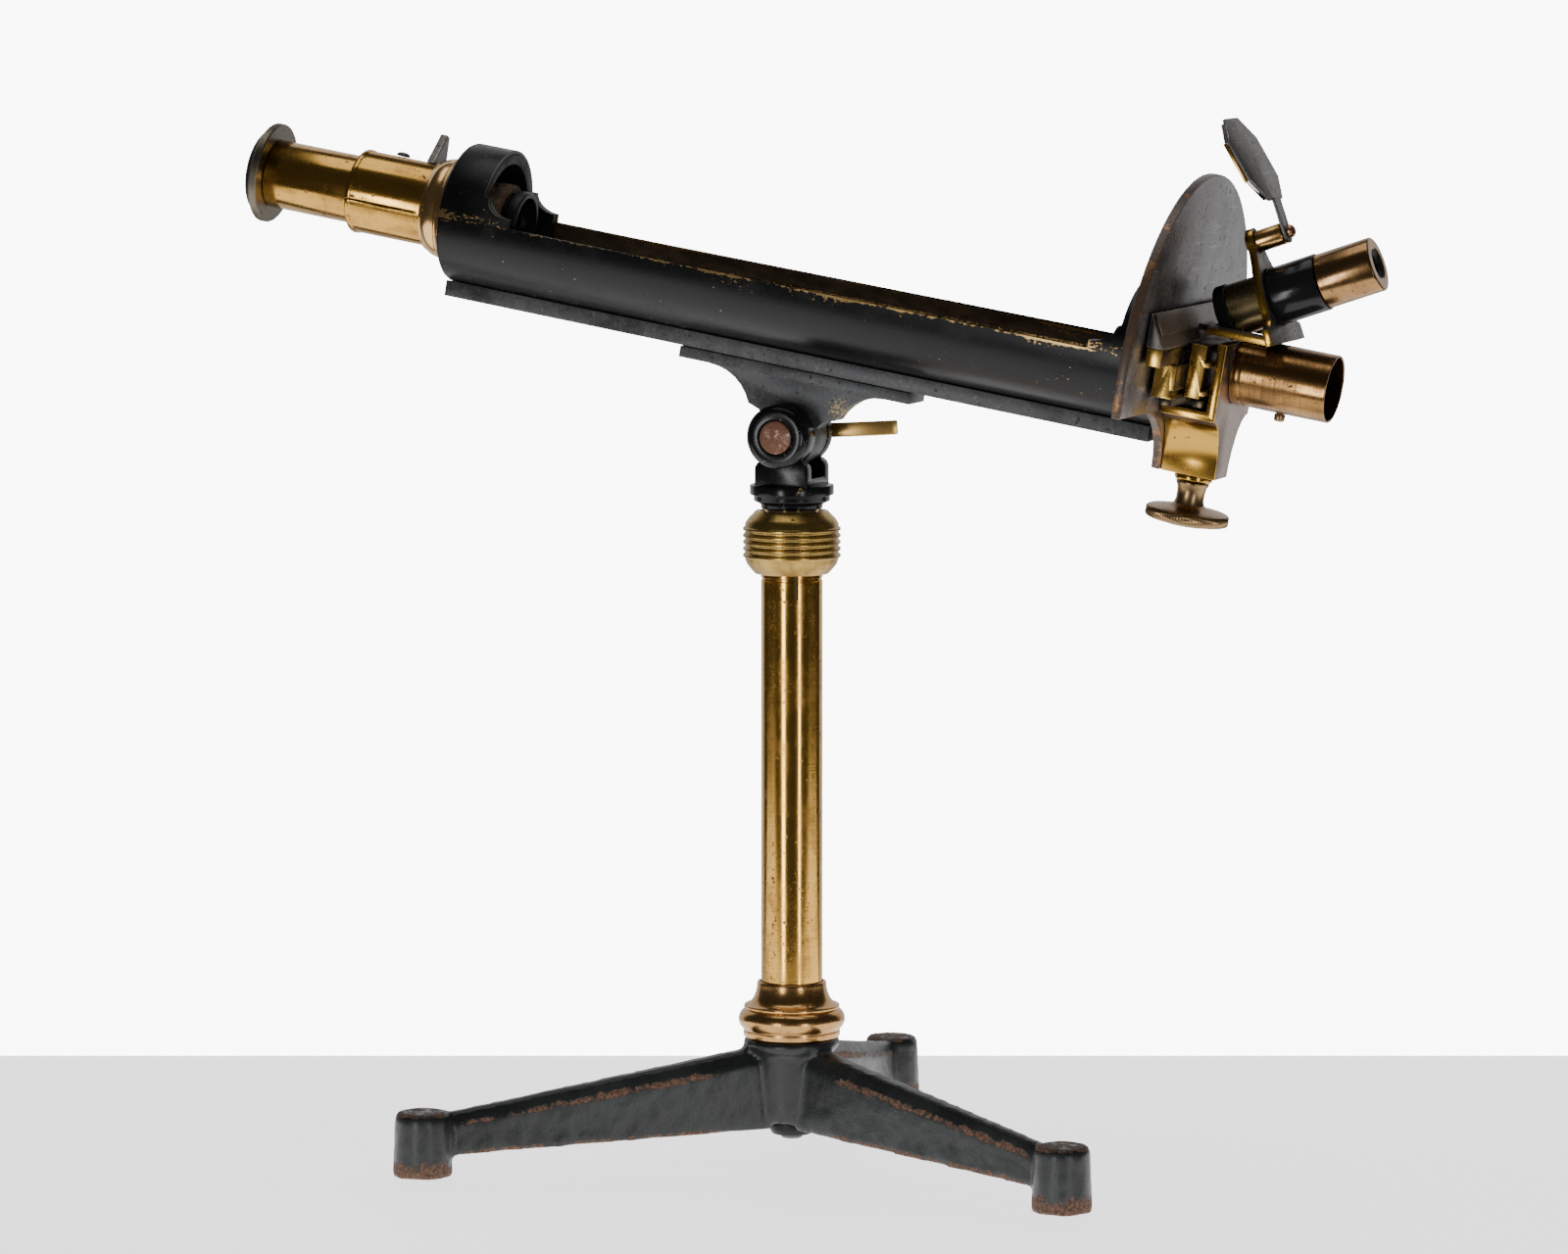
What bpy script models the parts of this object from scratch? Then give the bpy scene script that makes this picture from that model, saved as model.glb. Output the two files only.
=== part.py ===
"""Antique polarising saccharimeter on a pillar and tripod: every piece as its own solid.

Metres, +Z up.  +X runs along the instrument towards the observer's end, -Y is the side of the
clamp boss.  The origin is on the table, at the centre of the footprint's box.
Run it with: blender --background --python part.py
"""

import math

import bmesh
import bpy
from mathutils import Matrix, Vector

MM = 0.001
GAP = 0.3 * MM  # left between pieces that touch
RUN = 0.07 * MM  # radial clearance of a shaft that turns or slides

# Driving dimensions.
PILLAR_AT = (-4.64 * MM, -30.35 * MM)  # the pillar's axis, so that the origin is the box's centre
TILT = math.radians(9.8)  # the instrument slopes down towards the observer
PIVOT_Z = 265.7 * MM  # height of the tilting pin
AXIS_RISE = 55.3 * MM  # optical axis above the tilting pin
TUBE_R = 25.7 * MM  # trough and its two heads, outside
TROUGH_WALL = 1.2 * MM
HEAD_BORE = 20.7 * MM
HEAD_LEFT = (-139.0 * MM, -123.0 * MM)
HEAD_RIGHT = (122.2 * MM, 136.7 * MM)
OPENING = (-112.0 * MM, 111.8 * MM)  # straight part of the trough's rim
SHIELD_R = 69.5 * MM
SHIELD = (137.0 * MM, 140.5 * MM)
FRAME = (140.8 * MM, 160.7 * MM)  # compensator body along the axis
PILLAR_R = 11.15 * MM
POST_R = 9.78 * MM
LEG_REACH = 137.0 * MM
LEG_TURN = math.radians(3.7)  # tripod against the instrument's direction
FOOT_H = 23.4 * MM
PIN_R = 6.1 * MM
KNUCKLE_R = 11.5 * MM
SIGHT_AT = (153.9 * MM, 19.7 * MM)  # where the reading telescope's axis starts, along and above
SIGHT_PITCH = math.radians(28.4)  # reading telescope against the optical axis
SIGHT_R = 10.3 * MM
PINION_AT = 150.9 * MM
PITCH_R = 2.4 * MM
PINION_TEETH = 12
TOOTH = 2 * math.pi * PITCH_R / PINION_TEETH
SLIDE_SHIFT = 7.0 * MM  # how far each wedge slide stands from the middle at rest
SLIDE_HALF = 34.0 * MM

ROUND = 40  # sides of a large turned piece
SMALL = 24  # sides of a small one

parts = bpy.data.collections.new("saccharimeter")
cutters = bpy.data.collections.new("cutters")


# ---------------------------------------------------------------- materials

def finish(name, colour, roughness, metallic):
    material = bpy.data.materials.new(name)
    material.use_nodes = True
    shader = material.node_tree.nodes["Principled BSDF"]
    shader.inputs["Base Color"].default_value = (*colour, 1.0)
    shader.inputs["Roughness"].default_value = roughness
    shader.inputs["Metallic"].default_value = metallic
    return material


FINISHES = {
    "brass": ((0.55, 0.38, 0.16), 0.35, 1.0),
    "bright_brass": ((0.80, 0.58, 0.22), 0.30, 1.0),
    "black_lacquer": ((0.02, 0.02, 0.022), 0.28, 0.0),
    "grey_lacquer": ((0.10, 0.10, 0.105), 0.50, 0.3),
    "cast_iron": ((0.16, 0.17, 0.15), 0.60, 0.5),
    "steel": ((0.32, 0.28, 0.26), 0.45, 1.0),
    "brown_lacquer": ((0.16, 0.12, 0.10), 0.45, 0.4),
    "cork": ((0.30, 0.20, 0.12), 0.90, 0.0),
    "glass": ((0.80, 0.84, 0.82), 0.05, 0.0),
}


# ---------------------------------------------------------------- helpers

def empty(name, at=(0, 0, 0), turn=(0, 0, 0), parent=None):
    """A frame or a joint's axis that pieces hang from."""
    holder = bpy.data.objects.new(name, None)
    holder.empty_display_size = 0.02
    holder.location = at
    holder.rotation_euler = turn
    holder.parent = parent
    parts.objects.link(holder)
    return holder


def place(name, mesh, frame, at, turn, surface=None):
    """Links a mesh as a named part, or as a cutter when it has no surface finish."""
    piece = bpy.data.objects.new(name, mesh)
    piece.parent = frame
    piece.location = at
    piece.rotation_euler = turn
    if surface:
        piece.data.materials.append(bpy.data.materials[surface])
        parts.objects.link(piece)
    else:
        piece.hide_render = True
        piece.display_type = "WIRE"
        cutters.objects.link(piece)
    return piece


ALONG_S = (0, math.pi / 2, 0)  # turns a piece made along Z to run along the local X
ALONG_Y = (-math.pi / 2, 0, 0)  # along the local Y


def turned(name, profile, frame, at=(0, 0, 0), turn=(0, 0, 0), surface=None, sides=ROUND):
    """A lathe shape.  The profile (radius, height) runs down its outer side, in millimetres."""
    mesh = bpy.data.meshes.new(name)
    points = [(r * MM, 0.0, z * MM) for r, z in profile]
    closed = profile[0][0] > 0
    edges = [(i, i + 1) for i in range(len(points) - 1)]
    if closed:
        edges.append((len(points) - 1, 0))
    mesh.from_pydata(points, edges, [])
    piece = place(name, mesh, frame, at, turn, surface)
    screw = piece.modifiers.new("turn", "SCREW")
    screw.steps = screw.render_steps = sides
    screw.use_merge_vertices = True
    screw.merge_threshold = 0.00001
    return piece


def rod(name, radius, start, end, frame, at=(0, 0, 0), turn=(0, 0, 0), surface=None, sides=SMALL):
    """A plain cylinder from start to end along its own Z."""
    mesh = bpy.data.meshes.new(name)
    shape = bmesh.new()
    bmesh.ops.create_cone(shape, cap_ends=True, segments=sides, radius1=radius, radius2=radius,
                          depth=end - start)
    bmesh.ops.translate(shape, vec=(0, 0, (start + end) / 2), verts=shape.verts)
    shape.to_mesh(mesh)
    shape.free()
    return place(name, mesh, frame, at, turn, surface)


def block(name, low, high, frame, at=(0, 0, 0), turn=(0, 0, 0), surface=None):
    """A box between two corners of its own frame."""
    mesh = bpy.data.meshes.new(name)
    shape = bmesh.new()
    bmesh.ops.create_cube(shape, size=1.0)
    size = [h - l for l, h in zip(low, high)]
    middle = [(h + l) / 2 for l, h in zip(low, high)]
    bmesh.ops.scale(shape, vec=size, verts=shape.verts)
    bmesh.ops.translate(shape, vec=middle, verts=shape.verts)
    shape.to_mesh(mesh)
    shape.free()
    return place(name, mesh, frame, at, turn, surface)


def plate(name, outline, thickness, frame, at=(0, 0, 0), turn=(0, 0, 0), surface=None, holes=()):
    """A flat outline, with any holes, centred on its own XY plane, made from a filled curve."""
    curve = bpy.data.curves.new(name, "CURVE")
    curve.dimensions = "2D"
    curve.fill_mode = "BOTH"
    curve.extrude = thickness / 2
    for ring in (outline, *holes):
        spline = curve.splines.new("POLY")
        spline.points.add(len(ring) - 1)
        for point, (x, y) in zip(spline.points, ring):
            point.co = (x, y, 0, 1)
        spline.use_cyclic_u = True
    source = bpy.data.objects.new(name + "_curve", curve)
    bpy.context.scene.collection.objects.link(source)
    evaluated = source.evaluated_get(bpy.context.evaluated_depsgraph_get())
    mesh = bpy.data.meshes.new_from_object(evaluated)
    mesh.name = name
    bpy.data.objects.remove(source)
    bpy.data.curves.remove(curve)
    shape = bmesh.new()
    shape.from_mesh(mesh)
    bmesh.ops.remove_doubles(shape, verts=shape.verts, dist=0.000001)
    bmesh.ops.recalc_face_normals(shape, faces=shape.faces)
    shape.to_mesh(mesh)
    shape.free()
    return place(name, mesh, frame, at, turn, surface)


def combine(piece, tool, operation):
    """Joins the tool to the piece, or takes it away; the tool becomes a hidden helper."""
    change = piece.modifiers.new(tool.name, "BOOLEAN")
    change.operation = operation
    change.solver = "EXACT"
    change.object = tool
    return piece


def cut(piece, *tools):
    for tool in tools:
        combine(piece, tool, "DIFFERENCE")
    return piece


def join(piece, *tools):
    for tool in tools:
        combine(piece, tool, "UNION")
    return piece


def arc(centre, radii, start, end, steps):
    """Points on an arc of an ellipse, in degrees."""
    rx, ry = radii
    angles = [math.radians(start + (end - start) * i / steps) for i in range(steps + 1)]
    return [(centre[0] + rx * math.cos(a), centre[1] + ry * math.sin(a)) for a in angles]


def ring_points(centre, radius, steps):
    return arc(centre, (radius, radius), 0, 360 - 360 / steps, steps - 1)


def mirrored(half):
    """A symmetric outline from its right half, listed from the bottom up."""
    return half + [(-x, y) for x, y in reversed(half) if abs(x) > 1e-9]


# ---------------------------------------------------------------- stand

def tripod(stand):
    """Cast-iron hub with three drafted arms, each with a ridge along its back, and round feet."""
    hub = turned("tripod_base", [(16.4, 45.7), (17.6, 44.6), (17.6, 42.0), (14.6, 40.0), (13.4, 14.9),
                                 (4.4, 14.9), (4.4, 45.7)], stand, surface="cast_iron")
    for number in range(3):
        angle = math.radians(90 + 120 * number) + LEG_TURN
        foot_at = (LEG_REACH * math.cos(angle), LEG_REACH * math.sin(angle), 0)
        foot = turned(f"foot_{number}", [(0, FOOT_H / MM), (8.6, FOOT_H / MM), (9.6, 22.6), (10.0, 21.0),
                                         (10.9, 0.0), (0, 0)], stand, at=foot_at, sides=SMALL)
        join(hub, leg_bar(f"arm_{number}", stand, (0, 0, angle)), foot)
    return hub


def leg_bar(name, stand, direction):
    """An arm with a ridged back that narrows and drops from the hub to the foot."""
    near, far = 9.0, LEG_REACH / MM - 4.0
    hub_end = [(7.6, 12.5), (6.4, 37.0), (3.4, 42.8)]  # half width and height, from the underside up
    foot_end = [(4.8, 7.2), (3.8, 17.4), (2.2, 21.6)]
    mesh = bpy.data.meshes.new(name)
    shape = bmesh.new()
    rings = []
    for along, section in ((near, hub_end), (far, foot_end)):
        right = [(y, z) for y, z in section]
        left = [(-y, z) for y, z in reversed(section)]
        rings.append([shape.verts.new((along * MM, y * MM, z * MM)) for y, z in right + left])
    shape.faces.new(reversed(rings[0]))
    shape.faces.new(rings[1])
    for i in range(6):
        j = (i + 1) % 6
        shape.faces.new((rings[0][i], rings[0][j], rings[1][j], rings[1][i]))
    bmesh.ops.recalc_face_normals(shape, faces=shape.faces)
    shape.to_mesh(mesh)
    shape.free()
    return place(name, mesh, stand, (0, 0, 0), direction)


def stand_parts(stand):
    tripod(stand)
    rod("column_stud", 4.0 * MM, 8.2 * MM, 55.0 * MM, stand, surface="steel", sides=16)
    turned("hub_nut", [(8.2, 14.6), (8.2, 11.6), (7.2, 9.8), (4.3, 9.8), (4.3, 14.6)], stand,
           surface="black_lacquer")
    turned("column_ferrule",
           [(12.4, 66.1), (12.4, 64.8), (13.1, 61.8), (14.7, 59.2), (16.5, 57.7), (17.4, 57.2), (17.4, 56.3),
            (18.9, 55.0), (19.4, 52.6), (18.9, 50.2), (17.6, 48.4), (17.6, 46.0), (4.3, 46.0), (4.3, 50.0),
            (11.45, 50.0), (11.45, 66.1)],
           stand, surface="brass", sides=48)
    tube = turned("column_tube", [(11.15, 235.6), (11.15, 213.9), (10.8, 213.5), (10.8, 212.9),
                                  (11.15, 212.5), (11.15, 50.4), (9.85, 50.4), (9.85, 235.6)],
                  stand, surface="brass", sides=48)
    slit_turn = (0, 0, math.radians(-61))
    cut(tube, block("column_slit", (-15 * MM, -0.6 * MM, 206.5 * MM), (15 * MM, 0.6 * MM, 240 * MM), stand,
                    turn=slit_turn))


def collar_parts(stand):
    """Ribbed clamping collar round the slit end of the column."""
    axis = empty("collar_axis", parent=stand)
    first_rib, rib_pitch, ribs = 232.2, 2.42, 5
    profile = [(13.2, 238.0), (14.2, 236.6), (15.9, 235.2), (17.2, 233.0)]
    for number in range(ribs):
        top = first_rib - number * rib_pitch
        profile += [(17.8, top - 0.1), (17.8, top - 1.2), (17.0, top - 1.7)]
    profile += [(16.6, 219.4), (13.4, 215.2), (11.5, 215.2), (11.5, 238.0)]
    turned("clamp_collar", profile, axis, surface="brass")


def post_parts(stand):
    """The post that slides in the column, and the forked head that turns on top of it."""
    post = empty("post_axis", parent=stand)
    radius = POST_R / MM
    turned("inner_post", [(0, 246.0), (6.0, 246.0), (6.0, 238.6), (radius, 238.6), (radius, 80.0), (0, 80.0)],
           post, surface="brass", sides=48)
    swivel = empty("swivel_axis", parent=post)
    fork = turned("head_fork", [(0, 247.6), (15.25, 247.6), (15.25, 243.9), (13.85, 243.6), (13.85, 241.7), (11.2, 240.4),
                                (11.2, 238.9), (6.07, 238.9), (6.07, 246.4), (0, 246.4)],
                  swivel, surface="black_lacquer")
    ears = block("fork_block", (-10 * MM, -12.2 * MM, 247.0 * MM), (10 * MM, 12.2 * MM, 257.0 * MM), swivel)
    bevel = ears.modifiers.new("corners", "BEVEL")
    bevel.width = 3.5 * MM
    bevel.segments = 3
    bevel.limit_method = "WEIGHT"
    weights = ears.data.attributes.new("bevel_weight_edge", "FLOAT", "EDGE")
    for edge in ears.data.edges:
        a, b = (ears.data.vertices[v].co for v in edge.vertices)
        along_y = abs(a.y - b.y) > 0.001
        if along_y and a.z > 256 * MM:
            weights.data[edge.index].value = 1.0
    pivot = (0, 0, PIVOT_Z)
    r = KNUCKLE_R / MM
    barrel = turned("fork_barrel", [(0, 12.5), (r - 0.8, 12.5), (r, 11.7), (r, -15.8), (r - 2.3, -17.8),
                                    (0, -17.8)],
                    swivel, at=pivot, turn=ALONG_Y)
    slot = block("fork_slot", (-20 * MM, -6.7 * MM, 250.2 * MM), (20 * MM, 6.7 * MM, 290 * MM), swivel)
    bore = rod("fork_bore", PIN_R + GAP, -30 * MM, 30 * MM, swivel, at=pivot, turn=ALONG_Y, sides=32)
    join(fork, ears, barrel)
    cut(fork, slot, bore)
    turned("tilt_pin", [(0, 22.2), (3.6, 22.2), (4.0, 21.8), (4.0, 12.3), (6.1, 12.3), (6.1, -18.0),
                        (0, -18.0)],
           swivel, at=pivot, turn=ALONG_Y, surface="steel", sides=32)
    clamp_lever(empty("lever_axis", at=pivot, parent=swivel))
    return swivel


def clamp_lever(axis):
    """Round nut on the pin's thread with a curved brass strip for a handle."""
    nut = turned("clamp_lever", [(8.4, 19.6), (9.0, 19.0), (9.0, 13.2), (8.4, 12.6), (4.07, 12.6),
                                 (4.07, 19.6)], axis, turn=ALONG_Y, surface="brass", sides=32)
    bend = [(26.0 * MM * math.sin(a) / math.sin(0.6), 16.1 * MM + 30 * MM * (1 - math.cos(a)))
            for a in [0.6 * i / 6 for i in range(7)]]
    strip_outline = [(7.0 * MM + x, y - 0.8 * MM) for x, y in bend] + [
        (7.0 * MM + x, y + 0.8 * MM) for x, y in reversed(bend)]
    strip = plate("lever_strip", strip_outline, 5.3 * MM, axis, turn=(0, math.radians(-3), 0))
    join(nut, strip)


# ---------------------------------------------------------------- tilting bracket, rail and trough

def bracket_parts(pivot):
    """Saddle plate, ogee web and knuckle in one casting, and the rail screwed to it."""
    ogee = arc((33.8 * MM, 1.3 * MM), (18.4 * MM, 18.4 * MM), 90, 157, 6)
    right = [(10.0 * MM, 4.0 * MM), (12.4 * MM, 6.9 * MM)] + ogee[::-1] + [(36.0 * MM, 20.8 * MM)]
    web = plate("tilt_bracket", mirrored(right), 9.0 * MM, pivot, turn=(math.pi / 2, 0, 0),
                surface="grey_lacquer")
    saddle = block("saddle_plate", (-44.7 * MM, -8.3 * MM, 20.3 * MM), (44.7 * MM, 8.3 * MM, 24.3 * MM), pivot)
    knuckle = rod("knuckle", KNUCKLE_R - 0.2 * MM, -6.4 * MM, 6.4 * MM, pivot, turn=ALONG_Y, sides=ROUND)
    join(web, saddle, knuckle)
    cut(web, rod("knuckle_bore", PIN_R + RUN, -10 * MM, 10 * MM, pivot, turn=ALONG_Y, sides=32))
    rail_low, rail_high = 24.6 * MM, 30.4 * MM
    rail = block("rail", (-138.7 * MM, -8 * MM, rail_low), (134.3 * MM, 8 * MM, rail_high), pivot,
                 surface="grey_lacquer")
    cut(rail, rod("rail_groove", TUBE_R + GAP, -200 * MM, 200 * MM, pivot, at=(0, 0, AXIS_RISE), turn=ALONG_S,
                  sides=64))
    for side, place_s in (("left", -39 * MM), ("right", 39 * MM)):
        hole = turned(f"saddle_hole_{side}", [(0, 29.0), (1.5, 29.0), (1.5, 21.9), (3.0, 20.4), (3.0, 10.0),
                                              (0, 10.0)], pivot, at=(place_s, 0, 0), sides=12)
        cut(web, hole)
        cut(rail, hole)
        turned(f"saddle_screw_{side}", [(0, 28.5), (1.2, 28.5), (1.2, 22.0), (2.3, 20.8), (0, 20.8)], pivot,
               at=(place_s, 0, 0), surface="steel", sides=12)


def opening_cutter(optics):
    """Everything above the trough's rim: scrolled shoulders up to the two arched heads."""
    foot, lip, scroll_foot = 9.4 * MM, 3.0 * MM, 8.9 * MM
    left_face, right_face = HEAD_LEFT[1], HEAD_RIGHT[0]
    left_rim, right_rim = OPENING
    run = 8.8 * MM
    left = [(left_face, foot), (left_rim - run, foot)]
    left += arc((left_rim, foot), (run, foot - lip), 180, 270, 5)[1:]
    right = arc((right_rim, foot), (run, foot - lip), 270, 360, 5)[:-1]
    right += [(right_rim + run, foot), (right_face, foot)]
    outline = left + [(left_rim, 0), (right_rim, 0)] + right + [(right_face, 60 * MM), (left_face, 60 * MM)]
    return plate("trough_opening", outline, 80 * MM, optics, turn=(math.pi / 2, 0, 0))


def trough_parts(optics):
    opening = opening_cutter(optics)
    outer, inner = TUBE_R / MM, (TUBE_R - TROUGH_WALL) / MM
    left, right = HEAD_LEFT[0] / MM, HEAD_RIGHT[1] / MM
    tube = turned("trough_tube", [(outer, right), (outer, left + 1.0), (outer - 1.0, left), (inner, left),
                                  (inner, right)], optics, turn=ALONG_S, surface="black_lacquer", sides=56)
    cut(tube, opening)
    liner_outer, liner_inner = inner - GAP / MM, HEAD_BORE / MM
    spans = {"head_liner_left": (left, OPENING[0] / MM - 0.3),
             "head_liner_right": (OPENING[1] / MM + 0.3, right)}
    for name, (start, end) in spans.items():
        liner = turned(name, [(liner_outer, end), (liner_outer, start), (liner_inner, start),
                              (liner_inner, end)], optics, turn=ALONG_S, surface="black_lacquer", sides=56)
        cut(liner, opening)


# ---------------------------------------------------------------- polariser

def polariser_parts(optics):
    turned("polariser_collar",
           [(20.4, -136.0), (20.4, -139.3), (20.6, -139.4), (20.6, -140.4), (19.6, -141.6), (19.6, -142.8),
            (18.6, -143.2), (18.2, -144.6), (17.2, -147.0), (16.9, -148.6), (16.3, -150.3), (14.07, -150.3),
            (14.07, -136.0)],
           optics, turn=ALONG_S, surface="brass")
    turning = empty("polariser_axis", parent=optics)
    sleeve = turned("polariser_sleeve",
                    [(14.0, -135.6), (14.0, -150.6), (15.15, -150.6), (15.15, -178.6), (15.6, -178.8),
                     (15.6, -180.3), (15.0, -180.6), (12.6, -180.6), (12.6, -135.6)],
                    turning, turn=ALONG_S, surface="brass", sides=48)
    cut(sleeve, block("sleeve_slit", (-190 * MM, -20 * MM, -2.4 * MM), (-156 * MM, -8 * MM, -1.7 * MM), turning))
    lean = math.radians(21)
    lug_root = 15.5 * MM
    lug = plate("polariser_lug", [(-9.0 * MM, lug_root - 6 * MM), (9.0 * MM, lug_root - 6 * MM),
                                  (1.4 * MM, 26.8 * MM), (-1.4 * MM, 26.8 * MM)],
                2.8 * MM, turning, at=(-154.8 * MM, 0, 0), turn=(math.pi / 2, 0, math.pi / 2), surface="steel")
    lug.rotation_euler.rotate_axis("Z", -lean)
    cut(lug, rod("lug_seat", 15.15 * MM + GAP, -180 * MM, -150 * MM, turning, turn=ALONG_S, sides=48))
    screw_turn = (math.radians(-12), 0, 0)
    turned("lug_screw", [(0, 16.9), (1.6, 16.8), (2.6, 15.9), (2.6, 15.5), (0, 15.5)], turning,
           at=(-167.5 * MM, 0, 0), turn=screw_turn, surface="steel", sides=12)
    turned("half_shade_cell",
           [(11.1, -114.4), (11.7, -115.0), (11.7, -118.6), (9.9, -119.2), (9.9, -135.6), (3.9, -135.6),
            (3.9, -119.8), (7.4, -119.8), (9.2, -116.6), (9.6, -114.4)],
           turning, turn=ALONG_S, surface="black_lacquer", sides=32)
    turned("half_shade_plate", [(0, -126.0), (3.6, -126.0), (3.6, -128.0), (0, -128.0)],
           turning, turn=ALONG_S, surface="glass", sides=16)
    turned("cell_packing", [(13.2, -121.0), (13.2, -135.3), (10.2, -135.3), (10.2, -121.0)], turning,
           turn=ALONG_S, surface="cork", sides=SMALL)
    draw_parts(empty("draw_axis", parent=turning))


def draw_parts(draw):
    """The polariser's draw tube with its flange, lamp-side lens and Nicol prism."""
    turned("draw_tube", [(12.53, -146.0), (12.53, -214.9), (11.5, -214.9), (11.5, -146.0)], draw,
           turn=ALONG_S, surface="brass", sides=48)
    turned("draw_flange", [(18.0, -215.2), (18.45, -215.6), (18.45, -217.8), (18.0, -218.3), (9.5, -218.3),
                           (9.5, -215.2)], draw, turn=ALONG_S, surface="brass", sides=48)
    turned("condenser_cell", [(15.7, -218.6), (15.7, -219.6), (14.6, -221.2), (12.0, -222.2), (9.2, -222.4),
                              (8.3, -221.6), (8.3, -218.6)], draw, turn=ALONG_S, surface="grey_lacquer")
    turned("condenser_lens", [(0.0, -214.6), (4.5, -215.0), (8.0, -216.4), (8.0, -220.4), (5.6, -221.6),
                              (2.6, -222.3), (0.0, -222.5)], draw, turn=ALONG_S, surface="glass", sides=SMALL)
    block("polariser_prism", (-196 * MM, -5 * MM, -5 * MM), (-172 * MM, 5 * MM, 5 * MM), draw, surface="glass")
    holder = turned("prism_cork", [(11.2, -172.0), (11.2, -196.0), (2.0, -196.0), (2.0, -172.0)], draw,
                    turn=ALONG_S, surface="cork", sides=SMALL)
    cut(holder, block("prism_pocket", (-200 * MM, -5.3 * MM, -5.3 * MM), (-160 * MM, 5.3 * MM, 5.3 * MM), draw))


# ---------------------------------------------------------------- compensator

def shield(optics):
    """Round light shield, cut off level below, with a funnel-shaped tail."""
    centre_h, floor, tail_bottom = -3.3 * MM, -17.0 * MM, -39.3 * MM
    tail_in, tail_out = 8.0 * MM, 38.0 * MM
    cut_y = math.sqrt(SHIELD_R ** 2 - (floor - centre_h) ** 2)
    start = math.degrees(math.asin((floor - centre_h) / SHIELD_R))
    half = [(tail_in, tail_bottom)]
    half += arc((tail_out, tail_bottom), (tail_out - tail_in, floor - tail_bottom), 180, 90, 7)[1:]
    half += [(cut_y, floor)]
    half += arc((0, centre_h), (SHIELD_R, SHIELD_R), start, 90, 20)[1:]
    middle = (SHIELD[0] + SHIELD[1]) / 2
    plate("shield_disc", mirrored(half), SHIELD[1] - SHIELD[0], optics, at=(middle, 0, 0),
          turn=(math.pi / 2, 0, math.pi / 2), surface="grey_lacquer",
          holes=[ring_points((0, 0), 9.0 * MM, 24)[::-1]])


def compensator_frame(optics):
    """Funnel-shaped body with a floor for the slides and one side wall, bored for light and pinion."""
    top, ledge, bottom = -14.4 * MM, -17.4 * MM, -39.3 * MM
    wide, narrow = 21.5 * MM, 7.7 * MM
    half = [(narrow, bottom)] + arc((wide, bottom), (wide - narrow, ledge - bottom), 180, 100, 6)[1:]
    half += [(wide, ledge), (wide, 10.1 * MM)]
    length = FRAME[1] - FRAME[0]
    body = plate("compensator_frame", mirrored(half), length, optics, at=((FRAME[0] + FRAME[1]) / 2, 0, 0),
                 turn=(math.pi / 2, 0, math.pi / 2), surface="bright_brass")
    above = block("frame_above_floor", (130 * MM, -30 * MM, top), (157.4 * MM, 30 * MM, 20 * MM), optics)
    light = rod("frame_light_hole", 9.5 * MM, 150 * MM, 170 * MM, optics, turn=ALONG_S, sides=32)
    shaft = rod("frame_shaft_bore", 1.5 * MM + RUN, -60 * MM, 0, optics, at=(PINION_AT, 0, 0), sides=16)
    cut(body, above, light, shaft)


def rack_outline(teeth, depth):
    """A toothed bar with a gap at its middle."""
    tip, root = 0.36 * MM, -0.52 * MM
    points = []
    for number in range(-teeth // 2, teeth // 2):
        centre = (number + 0.5) * TOOTH
        for offset, level in ((-0.36, root), (-0.13, tip), (0.13, tip), (0.36, root)):
            points.append((centre + offset * TOOTH, level))
    points += [(points[-1][0] + 0.2 * MM, -depth), (points[0][0] - 0.2 * MM, -depth)]
    return points


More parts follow.
